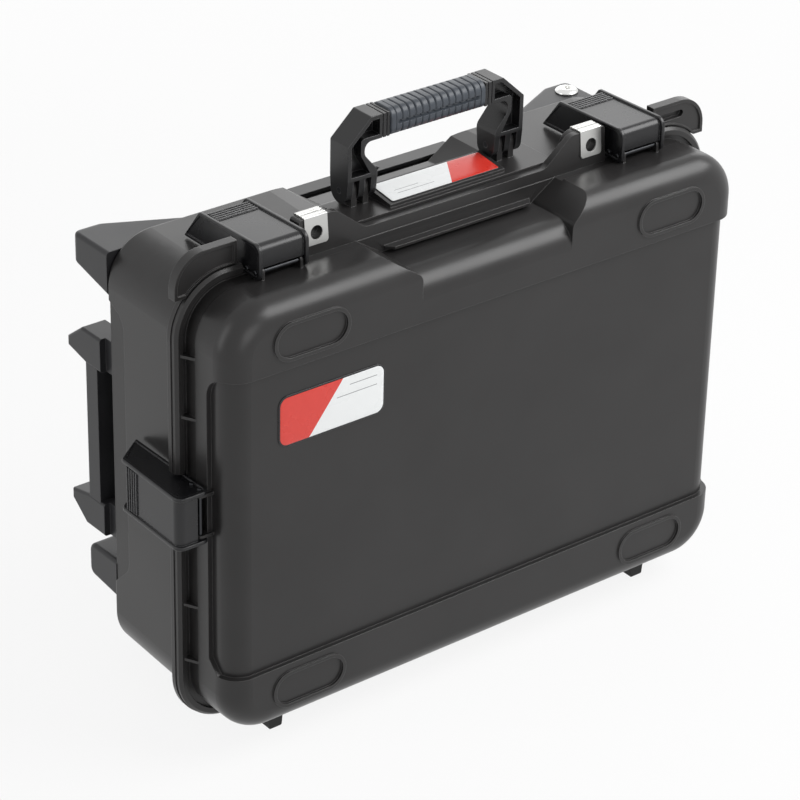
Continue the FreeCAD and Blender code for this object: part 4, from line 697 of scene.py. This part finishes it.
cap_recess = [
    (HEX_HALF + HEX_CHAMFER, cap_height, HEXAGON), (HEX_HALF, cap_height - HEX_CHAMFER, HEXAGON),
    (HEX_HALF, HEX_FLOOR_SHARE * cap_height, HEXAGON)]
cap = turned("bright_cap_screw", cap_edge + cap_dome + cap_recess, [cap_steel])
cap.matrix_world = Matrix.Translation(
    ((cap_low.x + cap_high.x) / 2, (cap_low.y + cap_high.y) / 2, cap_low.z))
soften(cap, CAP_SOFT_ANGLE)
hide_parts("block_cap")
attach(cap, "base")
print("cap radius", round(cap_radius / MM, 1), "mm")

# %% [markdown]
# ## Springs of wire
# Two small coil springs push the release button up. In the construction they are solids of one
# shape, so a pressed button would sink into them. Here a tube is bent along a helix instead.

# %% The wire along its helix
spring_low, spring_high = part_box("button_springs")
WIRE_RADIUS = 0.5 * MM
WIRE_SIDES = 12
TURN_COUNT = 4
TURN_STEPS = 32
spring_radius = (spring_high.y - spring_low.y) / 2 - WIRE_RADIUS
spring_rise = spring_high.z - spring_low.z - 2 * WIRE_RADIUS


def coil_rings(middle_x, middle_y):
    """Rings of the wire's section along a helix that stands on the spring's foot."""
    rings = []
    for step in range(TURN_COUNT * TURN_STEPS + 1):
        turn = 2 * math.pi * step / TURN_STEPS
        ring = []
        for side in range(WIRE_SIDES):
            angle = 2 * math.pi * side / WIRE_SIDES
            reach = spring_radius + WIRE_RADIUS * math.cos(angle)
            rise = spring_rise * step / (TURN_COUNT * TURN_STEPS)
            ring.append((middle_x + reach * math.cos(turn), middle_y + reach * math.sin(turn),
                         spring_low.z + WIRE_RADIUS + rise - WIRE_RADIUS * math.sin(angle)))
        rings.append(ring)
    return rings


print("a coil rises", round(spring_rise / TURN_COUNT / MM, 2), "mm a turn")

# %% [markdown]
# ## Two springs under the button
# One coil stands at each end of the construction's spring block, rides with the button's top and
# has a mesh of its own.

# %% Two helical springs under the button
spring_y = (spring_low.y + spring_high.y) / 2
for side_name, spring_x in (("left", spring_low.x + spring_radius + WIRE_RADIUS),
                            ("right", spring_high.x - spring_radius - WIRE_RADIUS)):
    coil = lofted("button_spring_" + side_name, coil_rings(spring_x, spring_y), [spring_steel])
    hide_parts("button_springs")
    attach(coil, "pull_top")
    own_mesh(coil)

# %% [markdown]
# ## Which rays see the studio
# A render follows many kinds of rays. Those from the camera, from a mirror and through glass
# show what a person sees, and the others only carry light from one surface to the next. The
# world answers the first kind with plain white, and the floor lets most of them through.

# %% Tell seeing rays from the others
def seeing_rays(tree):
    """Output that is 1 for rays from the camera, a mirror or glass, and 0 for all others."""
    ray = add_node(tree, "ShaderNodeLightPath")
    mirrored = add_node(tree, "ShaderNodeMath", {"operation": "ADD", "use_clamp": True},
                        {0: ray.outputs["Is Camera Ray"], 1: ray.outputs["Is Glossy Ray"]})
    seen = add_node(tree, "ShaderNodeMath", {"operation": "ADD", "use_clamp": True},
                    {0: mirrored.outputs["Value"], 1: ray.outputs["Is Transmission Ray"]})
    return seen.outputs["Value"]


print("seeing rays: camera, glossy and transmission")

# %% [markdown]
# ## The floor
# The case stands on a plain pale floor that keeps a soft shadow. To rays that see, the floor is
# mostly clear, so it is nearly as white as the world behind it, and the rest of it is matte
# paper that takes the shadow. A metre or two from the case the paper fades out, so no horizon
# shows from any side. A clear floor also lets a lid show that is opened while the case stands up
# and swings below it.

# %% Matte paper that is clear to rays that see
FLOOR_PAPER, FLOOR_PAPER_PALE = "#efefef", "#f3f3f3"
PAPER_SCALE = 3.0
CLEAR_SHARE = 0.88
FADE_FROM, FADE_TO = 0.8, 2.2            # metres from the middle of the case
floor_material = bpy.data.materials.new("pale_studio_floor")
floor_tree = empty_tree(floor_material)
paper = add_node(floor_tree, "ShaderNodeTexNoise", None, {"Scale": PAPER_SCALE})
paper_tone = add_node(floor_tree, "ShaderNodeMix", {"data_type": "RGBA"},
                      {0: paper.outputs["Fac"], 6: linear(FLOOR_PAPER),
                       7: linear(FLOOR_PAPER_PALE)})
matte = add_node(floor_tree, "ShaderNodeBsdfDiffuse", None, {"Color": paper_tone.outputs[2]})
see_through = add_node(floor_tree, "ShaderNodeBsdfTransparent")
floor_place = add_node(floor_tree, "ShaderNodeTexCoord").outputs["Object"]
from_case = add_node(floor_tree, "ShaderNodeVectorMath", {"operation": "LENGTH"},
                     {0: floor_place})
clear = add_node(floor_tree, "ShaderNodeMapRange", {"interpolation_type": "SMOOTHSTEP"},
                 {"Value": from_case.outputs["Value"], "From Min": FADE_FROM,
                  "From Max": FADE_TO, "To Min": CLEAR_SHARE, "To Max": 1.0})
share = add_node(floor_tree, "ShaderNodeMath", {"operation": "MULTIPLY"},
                 {0: seeing_rays(floor_tree), 1: clear.outputs["Result"]})
surface = add_node(floor_tree, "ShaderNodeMixShader", None,
                   {0: share.outputs["Value"], 1: matte.outputs["BSDF"],
                    2: see_through.outputs["BSDF"]})
add_node(floor_tree, "ShaderNodeOutputMaterial", None, {"Surface": surface.outputs["Shader"]})
print("the floor is", round(100 * CLEAR_SHARE), "% clear at the case")

# %% Lay the floor
FLOOR_HALF = 6.0
floor_mesh = bpy.data.meshes.new("studio_floor")
floor_mesh.from_pydata(
    [(sx * FLOOR_HALF, sy * FLOOR_HALF, 0.0) for sx, sy in ((-1, -1), (1, -1), (1, 1), (-1, 1))],
    [], [(0, 1, 2, 3)])
floor_mesh.materials.append(floor_material)
floor = add_object("studio_floor", floor_mesh)
print("floor", 2 * FLOOR_HALF, "m square")

# %% [markdown]
# ## The world
# The white of the background comes from the world, and only for rays that see. The light that
# the world casts on the case is set apart from it, and stays gentle, so that the lamps can shape
# the case.

# %% World: white to look at, gentle to be lit by
AMBIENT = 0.32
world = bpy.data.worlds.new("studio_world")
bpy.context.scene.world = world
world_tree = empty_tree(world)
strength = add_node(world_tree, "ShaderNodeMapRange", None,
                    {"Value": seeing_rays(world_tree), "To Min": AMBIENT, "To Max": 1.0})
sky = add_node(world_tree, "ShaderNodeBackground", None,
               {"Color": (1, 1, 1, 1), "Strength": strength.outputs["Result"]})
add_node(world_tree, "ShaderNodeOutputWorld", None, {"Surface": sky.outputs["Background"]})
print("ambient light", AMBIENT)

# %% [markdown]
# ## The lamps
# As in a packshot studio, a broad soft lamp hangs above on the right and a little in front, so
# the rounded top edges mirror it to the camera as one long quiet highlight. A weaker one stands
# low behind on the right, where the level faces mirror it, one lifts the left side a little
# above the front, and one on the camera's side fills the front. Places and sizes are in metres.

# %% Soft lamps
def soft_lamp(name, place, target, width, depth, watts):
    """Rectangular area lamp at a place, facing a target."""
    data = bpy.data.lights.new(name, "AREA")
    data.shape = "RECTANGLE"
    data.size = width
    data.size_y = depth
    data.energy = watts
    lamp = add_object(name, data)
    facing = (Vector(target) - Vector(place)).to_track_quat("-Z", "Y")
    lamp.matrix_world = Matrix.Translation(place) @ facing.to_matrix().to_4x4()


soft_lamp("top_softbox", place=(1.0, -0.8, 1.5), target=(0, 0, 0.3),
          width=1.5, depth=0.9, watts=26)
soft_lamp("rear_softbox", place=(0.95, 1.25, 0.95), target=(0, 0, 0.4),
          width=1.8, depth=1.0, watts=6)
soft_lamp("left_strip", place=(-1.7, 0.35, 0.9), target=(-0.2, 0, 0.25),
          width=0.6, depth=1.4, watts=5)
soft_lamp("front_fill", place=(-0.5, -2.2, 0.9), target=(0, 0, 0.25),
          width=1.2, depth=1.2, watts=9)
print(len(bpy.data.lights), "lamps")

# %% [markdown]
# ## The camera
# The viewing angle was solved from the photograph's straight edges: it looks from the front
# left, about 29 degrees down, with a long lens and a very slight roll. Its own three axes are
# built from those angles and written into its matrix, beside its place in metres.

# %% Camera at the photograph's angle
AZIMUTH = -0.678276456
ELEVATION = 0.503244501
ROLL = 0.0236739253
FOCAL_PIXELS = 3192.87
FRAME_PIXELS = 800
SENSOR_MM = 36
FARTHEST_SEEN = 50
camera_place = Vector((-1.5137, -1.8836, 1.5442))
back = Vector((math.sin(AZIMUTH) * math.cos(ELEVATION),
               -math.cos(AZIMUTH) * math.cos(ELEVATION), math.sin(ELEVATION)))
level = (-back).cross(Vector((0, 0, 1))).normalized()
upright = level.cross(-back)
right = math.cos(ROLL) * level + math.sin(ROLL) * upright
up = -math.sin(ROLL) * level + math.cos(ROLL) * upright
camera_data = bpy.data.cameras.new("photo_camera")
camera_data.sensor_width = SENSOR_MM
camera_data.lens = FOCAL_PIXELS / FRAME_PIXELS * SENSOR_MM
camera_data.clip_end = FARTHEST_SEEN
camera = add_object("photo_camera", camera_data)
camera.matrix_world = Matrix((
    (right.x, up.x, back.x, camera_place.x),
    (right.y, up.y, back.y, camera_place.y),
    (right.z, up.z, back.z, camera_place.z),
    (0, 0, 0, 1)))
bpy.context.scene.camera = camera
bpy.context.scene.view_settings.view_transform = "Standard"
print("lens", round(camera_data.lens, 1), "mm")

# %% [markdown]
# ## Close the lesson
# The view layer is brought up to date once more, so that every piece stands in its place.

# %% Update the view layer and finish
bpy.context.view_layer.update()
